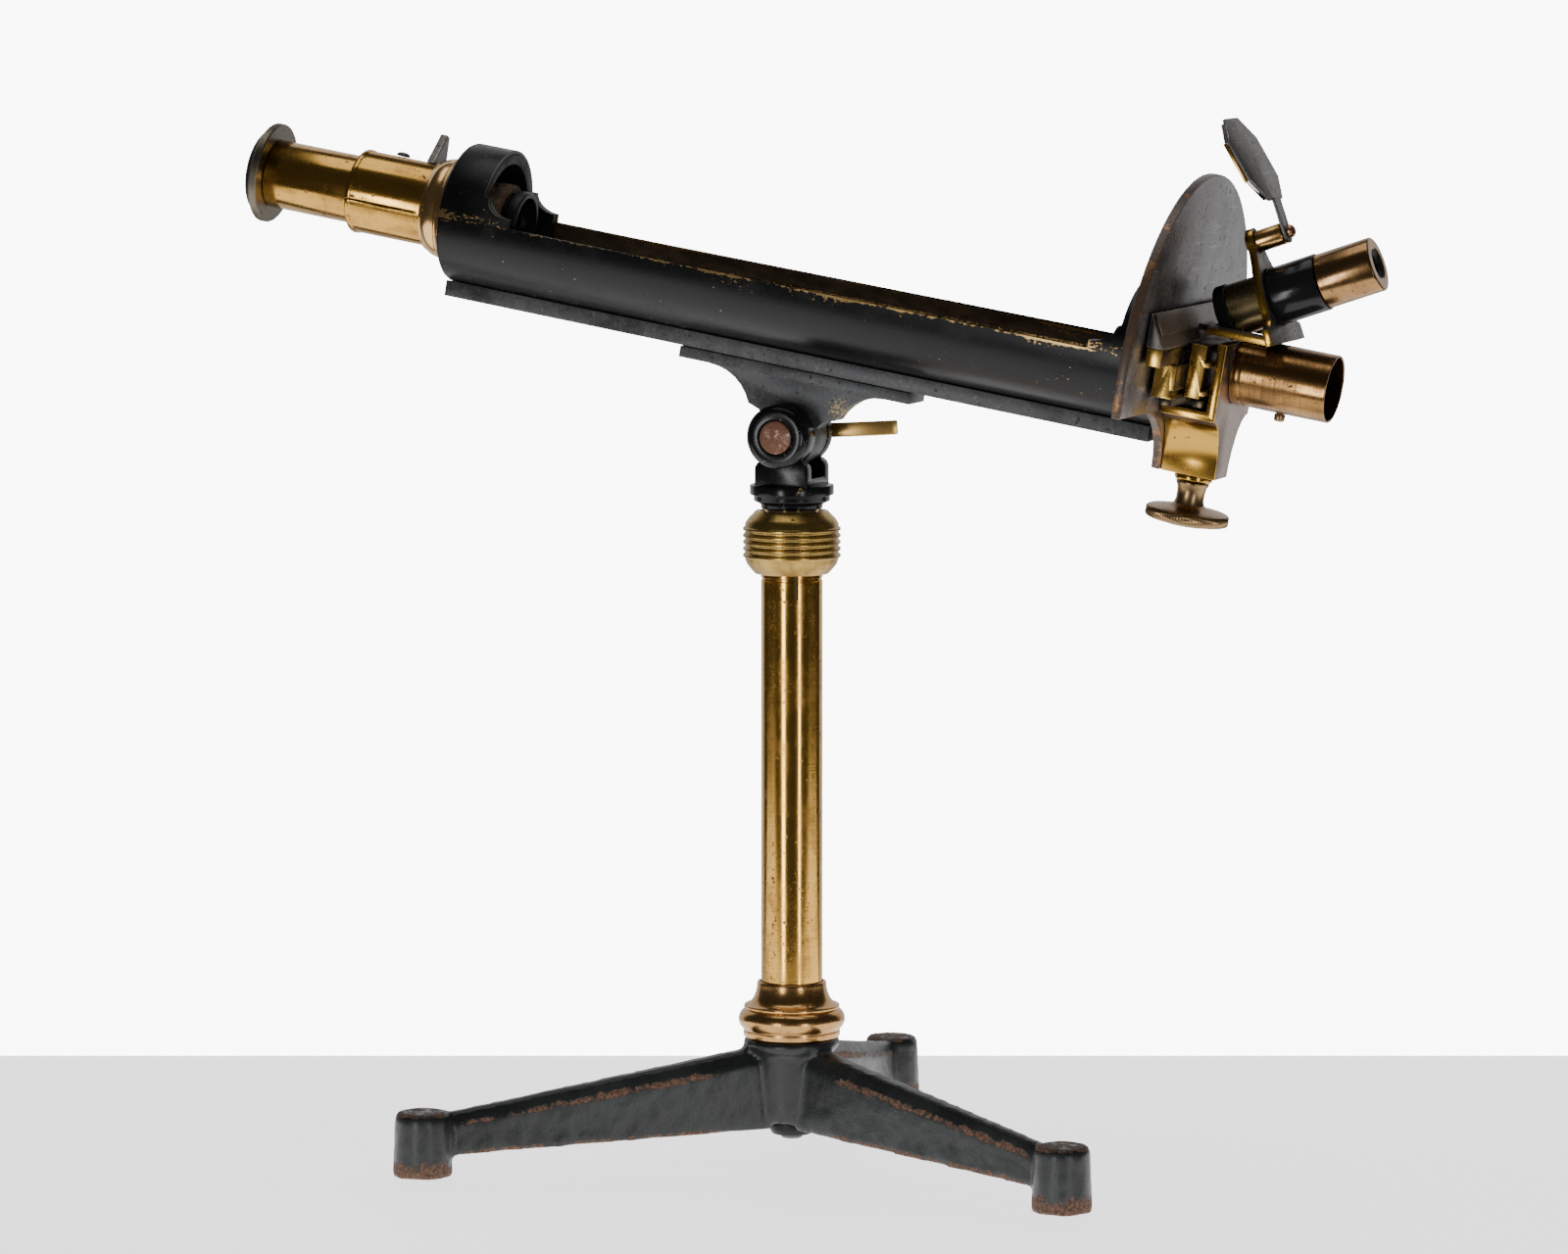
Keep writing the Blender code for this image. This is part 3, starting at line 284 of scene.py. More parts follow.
def cast_iron():
    """Black-green enamel on a rough casting, rusty on the feet and along the arms' edges."""
    under_fall, under_rise = 0.0427, 0.0134  # the arms' lower edges: fall outwards, height at the axis
    back_fall, back_rise = 0.158, 0.0384  # and their upper edges
    finish = Finish("enamelled_cast_iron", specular=0.4)
    place = finish.local(pillar)
    x, y, height = finish.parts_of(place)
    cloud = finish.noise(place, 28, 6, 0.65)
    pits = finish.noise(place, 260, 5, 0.7)
    grit = finish.noise(place, 900, 3, 0.6)
    reach = (x * x + y * y).math("SQRT")
    foot = finish.between(reach, 0.122, 0.130)
    low = 1 - finish.between(height, 0.001, 0.010)
    arm = finish.between(reach, 0.022, 0.030) * (1 - foot)
    under_edge = 1 - finish.between(abs(height + reach * under_fall - under_rise), 0.0006, 0.0030)
    back_edge = 1 - finish.between(abs(height + reach * back_fall - back_rise), 0.0004, 0.0026)
    edges = (under_edge + back_edge) * arm
    top = finish.between(height, 0.0215, 0.0228) * foot
    rust_field = pits * 0.55 + cloud * 0.3 + low * 0.22 + edges * 0.19 + top * 0.17 + foot * 0.04
    rust = finish.between(rust_field, 0.565, 0.63)
    enamel = finish.blend(finish.between(cloud, 0.35, 0.7), (0.009, 0.010, 0.010), (0.021, 0.024, 0.024))
    rusty = finish.blend(finish.between(grit, 0.35, 0.65), (0.050, 0.023, 0.013), (0.15, 0.078, 0.046))
    colour = finish.blend(rust, enamel, rusty)
    roughness = rust * 0.38 + cloud * 0.25 + 0.22
    relief = pits * 0.5 + grit * 0.2 + cloud * 0.6 - rust * 0.25
    return finish.wear(colour=colour, roughness=roughness, normal=finish.bump(relief, 0.0005, 0.5))


def dark_plate(name, matrix, base, light, scratches=0.5, shine=0.42, metallic=0.55, worn_at=None):
    """Grey-black plate, pitted and scratched, and perhaps worn to brass at one place."""
    finish = Finish(name, metallic=metallic)
    place = finish.local(matrix)
    cloud = finish.noise(place, 55, 6, 0.65, 0.3)
    grain = finish.noise(place, 850, 4, 0.7)
    lines_a = finish.noise(finish.stretched(place, (1, 0.06, 1)), 700, 2)
    lines_b = finish.noise(finish.stretched(place, (0.08, 1, 1)), 620, 2)
    scored = finish.between(lines_a, 0.62, 0.68) * 0.6 + finish.between(lines_b, 0.66, 0.72) * 0.4
    tone = finish.between(cloud * 0.7 + grain * 0.3, 0.36, 0.66)
    colour = finish.blend(tone, base, light)
    colour = finish.blend(scored * scratches, colour, tuple(min(1, c * 2.2 + 0.03) for c in light))
    pits = finish.between(finish.noise(place, 430, 3, 0.6), 0.62, 0.70)
    colour = finish.blend(pits * 0.6, colour, (0.02, 0.015, 0.012))
    if worn_at:
        x, _, z = finish.parts_of(place)
        right, up = x - worn_at[0], z - worn_at[1]
        near = 1 - finish.between((right * right + up * up).math("SQRT"), 0.001, 0.010)
        chipped = finish.between(finish.noise(place, 900, 5, 0.75) * 0.8 + near * 0.22, 0.62, 0.65)
        colour = finish.blend(chipped, colour, (0.46, 0.32, 0.13))
    roughness = tone * 0.18 + grain * 0.16 + pits * 0.2 + (shine - 0.14)
    relief = grain * 0.4 - pits * 0.5 - scored * 0.3
    return finish.wear(colour=colour, roughness=roughness, normal=finish.bump(relief, 0.00006, 0.7))


def rusty_pin():
    """The pin's end, brown with rust over bright turned steel."""
    finish = Finish("rusty_steel", metallic=1.0)
    place = finish.local(pin)
    blotch = finish.noise(place, 230, 6, 0.7, 0.5)
    grit = finish.noise(place, 1500, 3, 0.7)
    rust = finish.between(blotch, 0.30, 0.55)
    colour = finish.blend(rust, (0.36, 0.27, 0.23), (0.17, 0.085, 0.055))
    colour = finish.blend(finish.between(grit, 0.55, 0.7) * 0.5, colour, (0.07, 0.035, 0.025))
    return finish.wear(colour=colour, roughness=rust * 0.25 + grit * 0.15 + 0.28,
                       normal=finish.bump(blotch * 0.6 + grit * 0.4, 0.00012, 0.6))


def scale_lacquer():
    """Brown lacquer on the sloping scale, with division lines every millimetre."""
    finish = Finish("scale_lacquer", metallic=0.4)
    place = finish.local(axis)
    _, across, _ = finish.parts_of(place)
    step = (across * 1000.0 + 500.25).math("FRACT")
    line = 1 - finish.between(abs(step - 0.5), 0.06, 0.09)
    grain = finish.noise(place, 700, 4, 0.65)
    cloud = finish.noise(place, 80, 4, 0.6)
    colour = finish.blend(cloud, (0.10, 0.068, 0.048), (0.20, 0.145, 0.105))
    colour = finish.blend(line * 0.7, colour, (0.03, 0.022, 0.018))
    return finish.wear(colour=colour, roughness=grain * 0.2 + 0.3,
                       normal=finish.bump(grain * 0.5 - line * 0.6, 0.00005, 0.6))


def old_cork(name):
    finish = Finish(name)
    crumbs = finish.noise(finish.place, 420, 5, 0.7)
    pits = finish.node("ShaderNodeTexVoronoi", {}, {"Vector": finish.place, "Scale": 700.0})
    colour = finish.ramp(crumbs, [(0.32, (0.045, 0.028, 0.018)), (0.55, (0.16, 0.10, 0.055)),
                                  (0.75, (0.30, 0.21, 0.13))])
    return finish.wear(colour=colour, roughness=crumbs * 0.2 + 0.75,
                       normal=finish.bump(crumbs + pits * 0.5, 0.0004, 0.8))


def old_glass(name, tint, roughness=0.03):
    """Clear glass with a little dust on it."""
    finish = Finish(name, tint, roughness)
    finish.shader.inputs["Transmission Weight"].default_value = 0.92
    finish.shader.inputs["IOR"].default_value = 1.5
    dust = finish.noise(finish.place, 300, 5, 0.7)
    return finish.wear(roughness=finish.between(dust, 0.5, 0.8) * 0.25 + roughness,
                       colour=finish.blend(finish.between(dust, 0.55, 0.8) * 0.4, tint, (0.55, 0.52, 0.46)))


def mirror_face():
    """Silvering gone grey in spots."""
    finish = Finish("old_silvering", metallic=1.0)
    spots = finish.between(finish.noise(finish.place, 240, 5, 0.7), 0.55, 0.7)
    colour = finish.blend(spots * 0.7, (0.66, 0.66, 0.64), (0.16, 0.15, 0.13))
    return finish.wear(colour=colour, roughness=spots * 0.3 + 0.06)


BRASSES = {  # frame, gold, brown, tarnish, specks, turned, shine
    "pillar_brass": (pillar, (0.64, 0.36, 0.075), (0.26, 0.125, 0.030), 0.62, 0.9, 0.6, 0.14),
    "ferrule_brass": (pillar, (0.50, 0.28, 0.10), (0.20, 0.095, 0.038), 0.6, 0.7, 0.3, 0.22),
    "collar_brass": (pillar, (0.42, 0.275, 0.08), (0.20, 0.125, 0.036), 0.6, 0.8, 0.6, 0.26),
    "post_brass": (pillar, (0.58, 0.42, 0.18), (0.30, 0.20, 0.09), 0.3, 0.3, 0.3, 0.2),
    "lever_brass": (pin, (0.66, 0.42, 0.13), (0.32, 0.18, 0.06), 0.35, 0.5, 0.2, 0.3),
    "tube_brass": (tube, (0.56, 0.31, 0.065), (0.22, 0.105, 0.028), 0.65, 0.9, 0.55, 0.15),
    "collar_gold": (tube, (0.70, 0.43, 0.17), (0.34, 0.18, 0.075), 0.42, 0.5, 0.25, 0.2),
    "flange_olive": (tube, (0.15, 0.13, 0.095), (0.065, 0.055, 0.042), 0.5, 0.7, 0.3, 0.38),
    # The compensator's frame and slides paint light and shade with the next four brasses: brighter gold as a
    # painted highlight on their front faces, duller and darker copies of the same brass as painted shade on
    # their other faces. The first is also the colour of the pinion bush, the mirror clip and the reading
    # bracket's front faces, and the last is also the racks' colour.
    "bright_brass": (knob, (0.50, 0.28, 0.05), (0.26, 0.13, 0.028), 0.5, 0.5, 0.15, 0.2),
    "slide_painted_highlight_brass": (knob, (0.78, 0.48, 0.11), (0.15, 0.08, 0.025), 0.5, 0.95, 0.1, 0.26),
    "frame_painted_shade_brass": (knob, (0.36, 0.275, 0.225), (0.22, 0.165, 0.135), 0.5, 0.7, 0.3, 0.34),
    "browned_brass_and_painted_shade": (knob, (0.105, 0.082, 0.055), (0.055, 0.043, 0.032), 0.5, 0.7, 0.3, 0.32),
    "knob_brass": (knob, (0.30, 0.195, 0.095), (0.17, 0.11, 0.058), 0.6, 0.7, 0.3, 0.32),
    "scope_brass": (tube, (0.30, 0.16, 0.055), (0.13, 0.068, 0.026), 0.55, 0.8, 1.0, 0.17),
    "eyepiece_brass": (sight_tube, (0.30, 0.17, 0.070), (0.15, 0.085, 0.036), 0.55, 0.5, 0.7, 0.19),
    "sight_brass": (sight_tube, (0.58, 0.34, 0.12), (0.30, 0.165, 0.062), 0.35, 0.5, 0.4, 0.22),
    "sight_olive": (sight_tube, (0.30, 0.235, 0.12), (0.15, 0.115, 0.06), 0.5, 0.5, 0.6, 0.28),
    "copper_screw": (sight_tube, (0.52, 0.27, 0.15), (0.25, 0.12, 0.07), 0.4, 0.4, 0.2, 0.3),
}
FINISHES = {name: old_brass(name, *values) for name, values in BRASSES.items()}
FINISHES.update({
    "iron": cast_iron(),
    "hub_black": black_lacquer("hub_black", shine=0.42, chips=0.5, dust=0.8),
    "head_black": black_lacquer("head_black", shine=0.17, chips=0.75, dust=0.3),
    "pin_rust": rusty_pin(),
    "bracket_grey": dark_plate("bracket_grey", head, (0.034, 0.035, 0.037), (0.098, 0.099, 0.102), 0.3,
                               0.44, 0.35, (0.0176, 0.0128)),
    "trough": trough_lacquer(),
    "liner_black": black_lacquer("liner_black", (0.016, 0.015, 0.014), 0.45, 0.35, 0.9),
    "cell_black": black_lacquer("cell_black", (0.014, 0.014, 0.015), 0.34, 0.2, 0.6),
    "worn_steel": dark_plate("worn_steel", sight, (0.095, 0.086, 0.080), (0.175, 0.160, 0.150), 0.35,
                             0.44, 0.9),
    "shield_grey": dark_plate("shield_grey", tube, (0.150, 0.140, 0.138), (0.275, 0.262, 0.260), 0.3,
                              0.36, 1.0),
    "sight_black": black_lacquer("sight_black", (0.010, 0.010, 0.011), 0.14, 0.30, 0.2),
    "scale": scale_lacquer(),
    "cork": old_cork("cork_packing"),
    "glass": old_glass("old_glass", (0.86, 0.90, 0.87)),
    "crystal": old_glass("rock_crystal", (0.93, 0.94, 0.93), 0.02),
    "mirror": mirror_face(),
    "edge_rail": rubbed_edge("edge_rail", (0.30, 0.22, 0.12), (0.055, 0.056, 0.058), 0.05),
    "edge_copper": rubbed_edge("edge_copper", (0.27, 0.145, 0.075), (0.075, 0.045, 0.028), 0.45, 300),
    "edge_brass": rubbed_edge("edge_brass", (0.74, 0.46, 0.11), (0.28, 0.16, 0.05), 0.8, 260),
    "edge_steel": rubbed_edge("edge_steel", (0.36, 0.33, 0.29), (0.10, 0.095, 0.09), 0.7),
})


# ---------------------------------------------------------------- modelling helpers

def fresh():
    """Object mode with nothing selected."""
    if bpy.context.mode != "OBJECT":
        bpy.ops.object.mode_set(mode="OBJECT")
    bpy.ops.object.select_all(action="DESELECT")


def only(piece):
    fresh()
    piece.select_set(True)
    bpy.context.view_layer.objects.active = piece


def editing(piece):
    only(piece)
    bpy.ops.object.mode_set(mode="EDIT")
    bpy.ops.mesh.select_all(action="SELECT")


def apply_modifiers(piece):
    only(piece)
    for modifier in list(piece.modifiers):
        bpy.ops.object.modifier_apply(modifier=modifier.name)


def softened(piece, width, angle=28.0, edge_slot=None):
    """Breaks the sharp edges, as a file or a wheel would."""
    bevel = piece.modifiers.new("broken_edges", "BEVEL")
    bevel.width = width * MM
    bevel.segments = 2
    bevel.limit_method = "ANGLE"
    bevel.angle_limit = math.radians(angle)
    bevel.use_clamp_overlap = True
    bevel.miter_outer = "MITER_ARC"
    if edge_slot is not None:
        bevel.material = edge_slot
    apply_modifiers(piece)
    return piece


def smooth(piece, angle=32.0):
    only(piece)
    bpy.ops.object.shade_smooth_by_angle(angle=math.radians(angle))
    return piece


def set_down(piece, matrix):
    """Puts a piece where its frame says, and leaves that place in its mesh."""
    only(piece)
    piece.matrix_world = matrix @ piece.matrix_world
    bpy.ops.object.transform_apply(location=True, rotation=True, scale=True)
    return piece


def lathe(profile, sides=96, ring=False):
    """Extrudes and scales a circle through (radius, height) steps; a ring closes on itself."""
    fresh()
    first_radius, first_height = profile[0]
    bpy.ops.mesh.primitive_circle_add(vertices=sides, radius=first_radius * MM, fill_type="NOTHING")
    piece = bpy.context.active_object
    editing(piece)
    bpy.ops.transform.translate(value=(0, 0, first_height * MM))
    for (before, low), (radius, height) in zip(profile, profile[1:]):
        bpy.ops.mesh.extrude_region_move(TRANSFORM_OT_translate={"value": (0, 0, (height - low) * MM)})
        size = radius / before
        bpy.ops.transform.resize(value=(size, size, 1), center_override=(0, 0, height * MM))
    bpy.ops.mesh.select_all(action="DESELECT")
    bpy.ops.mesh.select_non_manifold()
    if ring:
        bpy.ops.mesh.bridge_edge_loops()
    else:
        bpy.ops.mesh.fill_holes(sides=0)
    bpy.ops.mesh.select_all(action="SELECT")
    bpy.ops.mesh.normals_make_consistent(inside=False)
    bpy.ops.object.mode_set(mode="OBJECT")
    return piece


def outline(points, thickness):
    """A flat plate: one corner is extruded round the outline, filled and given its thickness."""
    fresh()
    bpy.ops.mesh.primitive_plane_add(size=MM)
    piece = bpy.context.active_object
    editing(piece)
    bpy.ops.mesh.merge(type="CENTER")
    x, y = points[0]
    bpy.ops.transform.translate(value=(x * MM, y * MM, -thickness / 2 * MM))
    for next_x, next_y in points[1:]:
        bpy.ops.mesh.extrude_region_move(
            TRANSFORM_OT_translate={"value": ((next_x - x) * MM, (next_y - y) * MM, 0)})
        x, y = next_x, next_y
    bpy.ops.mesh.select_all(action="SELECT")
    bpy.ops.mesh.edge_face_add()
    bpy.ops.mesh.extrude_region_move(TRANSFORM_OT_translate={"value": (0, 0, thickness * MM)})
    bpy.ops.mesh.select_all(action="SELECT")
    bpy.ops.mesh.normals_make_consistent(inside=False)
    bpy.ops.object.mode_set(mode="OBJECT")
    return piece


def slab(low, high):
    """A box between two corners, in millimetres."""
    fresh()
    centre = [(a + b) / 2 * MM for a, b in zip(low, high)]
    bpy.ops.mesh.primitive_cube_add(size=1, location=centre)
    piece = bpy.context.active_object
    piece.scale = [(b - a) * MM for a, b in zip(low, high)]
    bpy.ops.object.transform_apply(location=True, rotation=True, scale=True)
    return piece


def arc(centre, radii, start, end, steps):
    """Points on an arc of an ellipse, in degrees."""
    angles = [math.radians(start + (end - start) * i / steps) for i in range(steps + 1)]
    return [(centre[0] + radii[0] * math.cos(a), centre[1] + radii[1] * math.sin(a)) for a in angles]


def mirrored(half):
    return half + [(-x, y) for x, y in reversed(half) if abs(x) > 1e-6]


def carved(piece, *tools):
    """Cuts the tools out of a piece and throws them away."""
    for tool in tools:
        change = piece.modifiers.new("carve", "BOOLEAN")
        change.operation = "DIFFERENCE"
        change.solver = "EXACT"
        change.object = tool
    apply_modifiers(piece)
    for tool in tools:
        bpy.data.objects.remove(tool, do_unlink=True)
    return piece


def joined(*pieces):
    fresh()
    for piece in pieces:
        piece.select_set(True)
    bpy.context.view_layer.objects.active = pieces[0]
    bpy.ops.object.join()
    return pieces[0]


def copy_of(node):
    """The CAD node's shape as a clean mesh of its own."""
    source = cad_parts[node]
    fresh()
    piece = bpy.data.objects.new(node + "_copy", source.data.copy())
    bpy.context.scene.collection.objects.link(piece)
    piece.data.materials.clear()
    editing(piece)
    bpy.ops.mesh.remove_doubles(threshold=0.000002)
    bpy.ops.mesh.dissolve_limited(angle_limit=math.radians(1.0))
    bpy.ops.object.mode_set(mode="OBJECT")
    return piece


def finished(piece, node, body, finish, edge=None):
    """Names a piece, gives it its finish, and says what it rides on and stands for."""
    piece.name = "shown_" + node
    piece.data.name = piece.name
    wanted = [FINISHES[finish]] + ([FINISHES[edge]] if edge else [])
    for position, material in enumerate(wanted):
        if position < len(piece.data.materials):
            piece.data.materials[position] = material
        else:
            piece.data.materials.append(material)
    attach(piece, body)
    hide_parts(node)
    return piece


def turned_part(node, profile, matrix, body, finish, ring=False, sides=96, edges=0.2, angle=28.0):
    """The common case: a lathe shape with broken edges that stands for one CAD node."""
    piece = lathe(profile, sides, ring)
    softened(piece, edges, angle)
    set_down(piece, matrix)
    smooth(piece)
    return finished(piece, node, body, finish)


def facing_front(normal):
    return normal.y < -0.55


def on_the_rim(normal):
    return abs(normal.dot(head.col[0].to_3d())) < 0.5


def cad_part(node, body, finish, edge=None, width=0.25, angle=30.0, faces=None, wanted=facing_front):
    """The CAD node's own shape with broken edges; the faces that wanted picks have a finish of their own; on
    the compensator's frame and slides the front faces take a painted highlight and the rest painted shade.
    """
    piece = copy_of(node)
    for name in (finish, edge or finish, faces or finish):
        piece.data.materials.append(FINISHES[name])
    if faces:
        for face in piece.data.polygons:
            if wanted(face.normal):
                face.material_index = 2
    softened(piece, width, angle, 1 if edge else None)
    smooth(piece)
    return finished(piece, node, body, finish, edge=edge)


def knurled(piece, count, low, high, radius, depth):
    """Presses every other line of a rim inwards, for a straight knurl."""
    editing(piece)
    bpy.ops.mesh.select_all(action="DESELECT")
    bpy.ops.object.mode_set(mode="OBJECT")
    step = 2 * math.pi / count
    for vertex in piece.data.vertices:
        x, y, z = vertex.co
        turn = round(math.atan2(y, x) / step)
        on_rim = low * MM <= z <= high * MM and math.hypot(x, y) > radius * MM
        vertex.select = on_rim and turn % 2 == 0
    bpy.ops.object.mode_set(mode="EDIT")
    bpy.ops.mesh.select_mode(type="VERT")
    size = 1 - depth / radius
    bpy.ops.transform.resize(value=(size, size, 1), center_override=(0, 0, 0))
    bpy.ops.object.mode_set(mode="OBJECT")
    return piece


# ---------------------------------------------------------------- stand

def make_tripod():
    """The casting: the CAD shape run together, softened and left slightly uneven."""
    piece = copy_of("tripod_base")
    remesh = piece.modifiers.new("casting", "REMESH")
    remesh.mode = "VOXEL"
    remesh.voxel_size = 1.15 * MM
    relax = piece.modifiers.new("rounded", "SMOOTH")
    relax.factor = 0.5
    relax.iterations = 4
    apply_modifiers(piece)
    sand = bpy.data.textures.new("sand_mould", "CLOUDS")
    sand.noise_scale = 0.006
    sand.noise_depth = 3
    uneven = piece.modifiers.new("uneven", "DISPLACE")
    uneven.texture = sand
    uneven.texture_coords = "LOCAL"
    uneven.strength = 0.5 * MM
    uneven.mid_level = 0.52
    apply_modifiers(piece)
    only(piece)
    bpy.ops.object.shade_smooth()
    level = min(vertex.co.z for vertex in piece.data.vertices)
    editing(piece)
    bpy.ops.transform.translate(value=(0, 0, -level))
    bpy.ops.object.mode_set(mode="OBJECT")
    finished(piece, "tripod_base", "stand", "iron")


def make_stand():
    make_tripod()
    turned_part("hub_nut", [(8.2, 14.6), (8.2, 11.6), (7.2, 9.8), (4.3, 9.8), (4.3, 14.6)], pillar, "stand",
                "hub_black", ring=True, sides=64)
    turned_part("column_stud", [(3.6, 8.2), (4.0, 8.8), (4.0, 54.6), (3.6, 55.0)], pillar, "stand",
                "worn_steel", sides=32, edges=0.1)
    flare = arc((17.0, 66.0), (4.4, 8.3), 180, 262, 9)
    ferrule = [(12.4, 66.1), (12.6, 65.6)] + [(r, h) for r, h in flare[1:]]
    ferrule += [(17.4, 57.4), (17.4, 56.4)]
    ferrule += arc((15.4, 52.2), (4.0, 4.2), 68, -58, 10)
    ferrule += [(17.6, 48.4), (17.6, 46.0), (4.3, 46.0), (4.3, 50.0), (11.45, 50.0), (11.45, 66.1)]
    turned_part("column_ferrule", ferrule, pillar, "stand", "ferrule_brass", ring=True, sides=128,
                edges=0.25)
    column = lathe([(11.15, 235.6), (11.15, 213.9), (10.85, 213.6), (10.85, 212.9), (11.15, 212.6),
                    (11.15, 50.4), (9.85, 50.4), (9.85, 235.6)], 128, ring=True)
    slit = slab((-15, -0.6, 206.5), (15, 0.6, 240))
    set_down(slit, Matrix.Rotation(math.radians(-61), 4, "Z"))
    carved(column, slit)
    set_down(column, pillar)
    finished(smooth(column), "column_tube", "stand", "pillar_brass")


def make_collar():
    profile = [(13.2, 238.0), (14.2, 236.8), (15.7, 235.4), (16.9, 233.6)]
    for number in range(5):
        top = 232.2 - number * 2.42
        profile += [(17.1, top), (17.75, top - 0.35), (17.75, top - 1.15), (17.1, top - 1.5),
                    (17.0, top - 1.9)]
    profile += [(16.6, 219.4), (16.0, 218.2), (13.4, 215.2), (11.5, 215.2), (11.5, 238.0)]
    turned_part("clamp_collar", profile, pillar, "collar", "collar_brass", ring=True, sides=128,
                edges=0.16)


def make_head_fork():
    """Neck and flange, a block with rounded shoulders and two round ears, one with a boss."""
    turned_part("inner_post", [(6.0, 246.0), (6.0, 238.6), (9.78, 238.6), (9.78, 80.0)], pillar, "post",
                "post_brass", sides=96)
    flange = lathe([(15.25, 247.5), (15.25, 243.9), (13.85, 243.6), (13.85, 241.7), (11.2, 240.4),
                    (11.2, 238.9), (6.07, 238.9), (6.07, 246.4), (2.0, 246.4), (2.0, 247.5)], 128,
                   ring=True)
    softened(flange, 0.35)
    set_down(flange, pillar)
    yoke = outline(mirrored([(10.0, 247.2)] + arc((6.5, 253.4), (3.5, 3.5), 0, 90, 5) + [(3.0, 257.0)]), 24.4)
    set_down(yoke, pillar @ Matrix.Rotation(math.pi / 2, 4, "X"))
    gap = slab((-30, -6.7, 250.2), (30, 6.7, 290))
    set_down(gap, pillar)
    carved(yoke, gap)
    softened(yoke, 0.4)
    front = lathe([(6.4, -6.7), (11.5, -6.7), (11.5, -15.8), (11.2, -16.4), (9.4, -17.7), (6.4, -17.8)], 128,
                  ring=True)
    rear = lathe([(6.4, 12.4), (10.7, 12.4), (11.5, 11.6), (11.5, 6.7), (6.4, 6.7)], 128, ring=True)
    for ear in (front, rear):
        softened(ear, 0.3)
        set_down(ear, pin)
    piece = smooth(joined(flange, yoke, front, rear))
    finished(piece, "head_fork", "fork", "head_black")
    turned_part("tilt_pin", [(3.6, 22.2), (4.0, 21.8), (4.0, 12.3), (6.1, 12.3), (6.1, -17.7),
                             (5.7, -18.05)], pin, "fork", "pin_rust", sides=96, edges=0.25)


def make_lever():
    nut = lathe([(8.4, 19.6), (9.0, 19.0), (9.0, 13.2), (8.4, 12.6), (4.07, 12.6), (4.07, 19.6)], 96,
                ring=True)
    softened(nut, 0.25)
    set_down(nut, pin)
    turns = [0.6 * i / 12 for i in range(13)]
    bend = [(7.0 + 26.0 * math.sin(a) / math.sin(0.6), 16.1 + 30 * (1 - math.cos(a))) for a in turns]
    strip = outline([(x, y - 0.8) for x, y in bend] + [(x, y + 0.8) for x, y in reversed(bend)], 5.3)
    softened(strip, 0.5)
    set_down(strip, Matrix.Translation(pin.translation) @ Matrix.Rotation(math.radians(-3), 4, "Y"))
    finished(smooth(joined(nut, strip)), "clamp_lever", "lever", "lever_brass")


# ---------------------------------------------------------------- trough, rail and bracket

def trough_opening():
    """What is cut away above the rim: scrolled shoulders up to the two arched heads."""
    left = [(-123.0, 9.4), (-120.8, 9.4)] + arc((-112.0, 9.4), (8.8, 6.4), 180, 270, 10)[1:]
    right = arc((111.8, 9.4), (8.8, 6.4), 270, 360, 10)[:-1] + [(120.6, 9.4), (122.2, 9.4)]
    points = left + [(-112.0, 0.0), (111.8, 0.0)] + right + [(122.2, 60.0), (-123.0, 60.0)]
    cutter = outline(points, 80.0)
    return set_down(cutter, axis @ Matrix.Rotation(math.pi / 2, 4, "X"))


def make_trough():
    shell = lathe([(25.7, 136.7), (25.7, -137.6), (25.2, -138.6), (24.7, -139.0), (24.5, -139.0),
                   (24.5, 136.7)], 160, ring=True)
    set_down(shell, tube)
    carved(shell, trough_opening())
    softened(shell, 0.22, 35)
    finished(smooth(shell), "trough_tube", "head", "trough")
    for node, start, end in (("head_liner_left", -139.0, -112.3), ("head_liner_right", 112.1, 136.7)):
        liner = lathe([(24.2, end), (24.2, start), (20.9, start), (20.7, start + 0.6), (20.7, end - 0.6),
                       (20.9, end)], 160, ring=True)
        set_down(liner, tube)
        carved(liner, trough_opening())
        softened(liner, 0.15, 35)
        finished(smooth(liner), node, "head", "liner_black")


def make_bracket():
    cad_part("tilt_bracket", "head", "bracket_grey", "edge_rail", 0.18, 35)
    cad_part("rail", "head", "bracket_grey", "edge_rail", 0.2, 35)
    for node in ("saddle_screw_left", "saddle_screw_right"):
        cad_part(node, "head", "worn_steel", width=0.1)


# ---------------------------------------------------------------- polariser

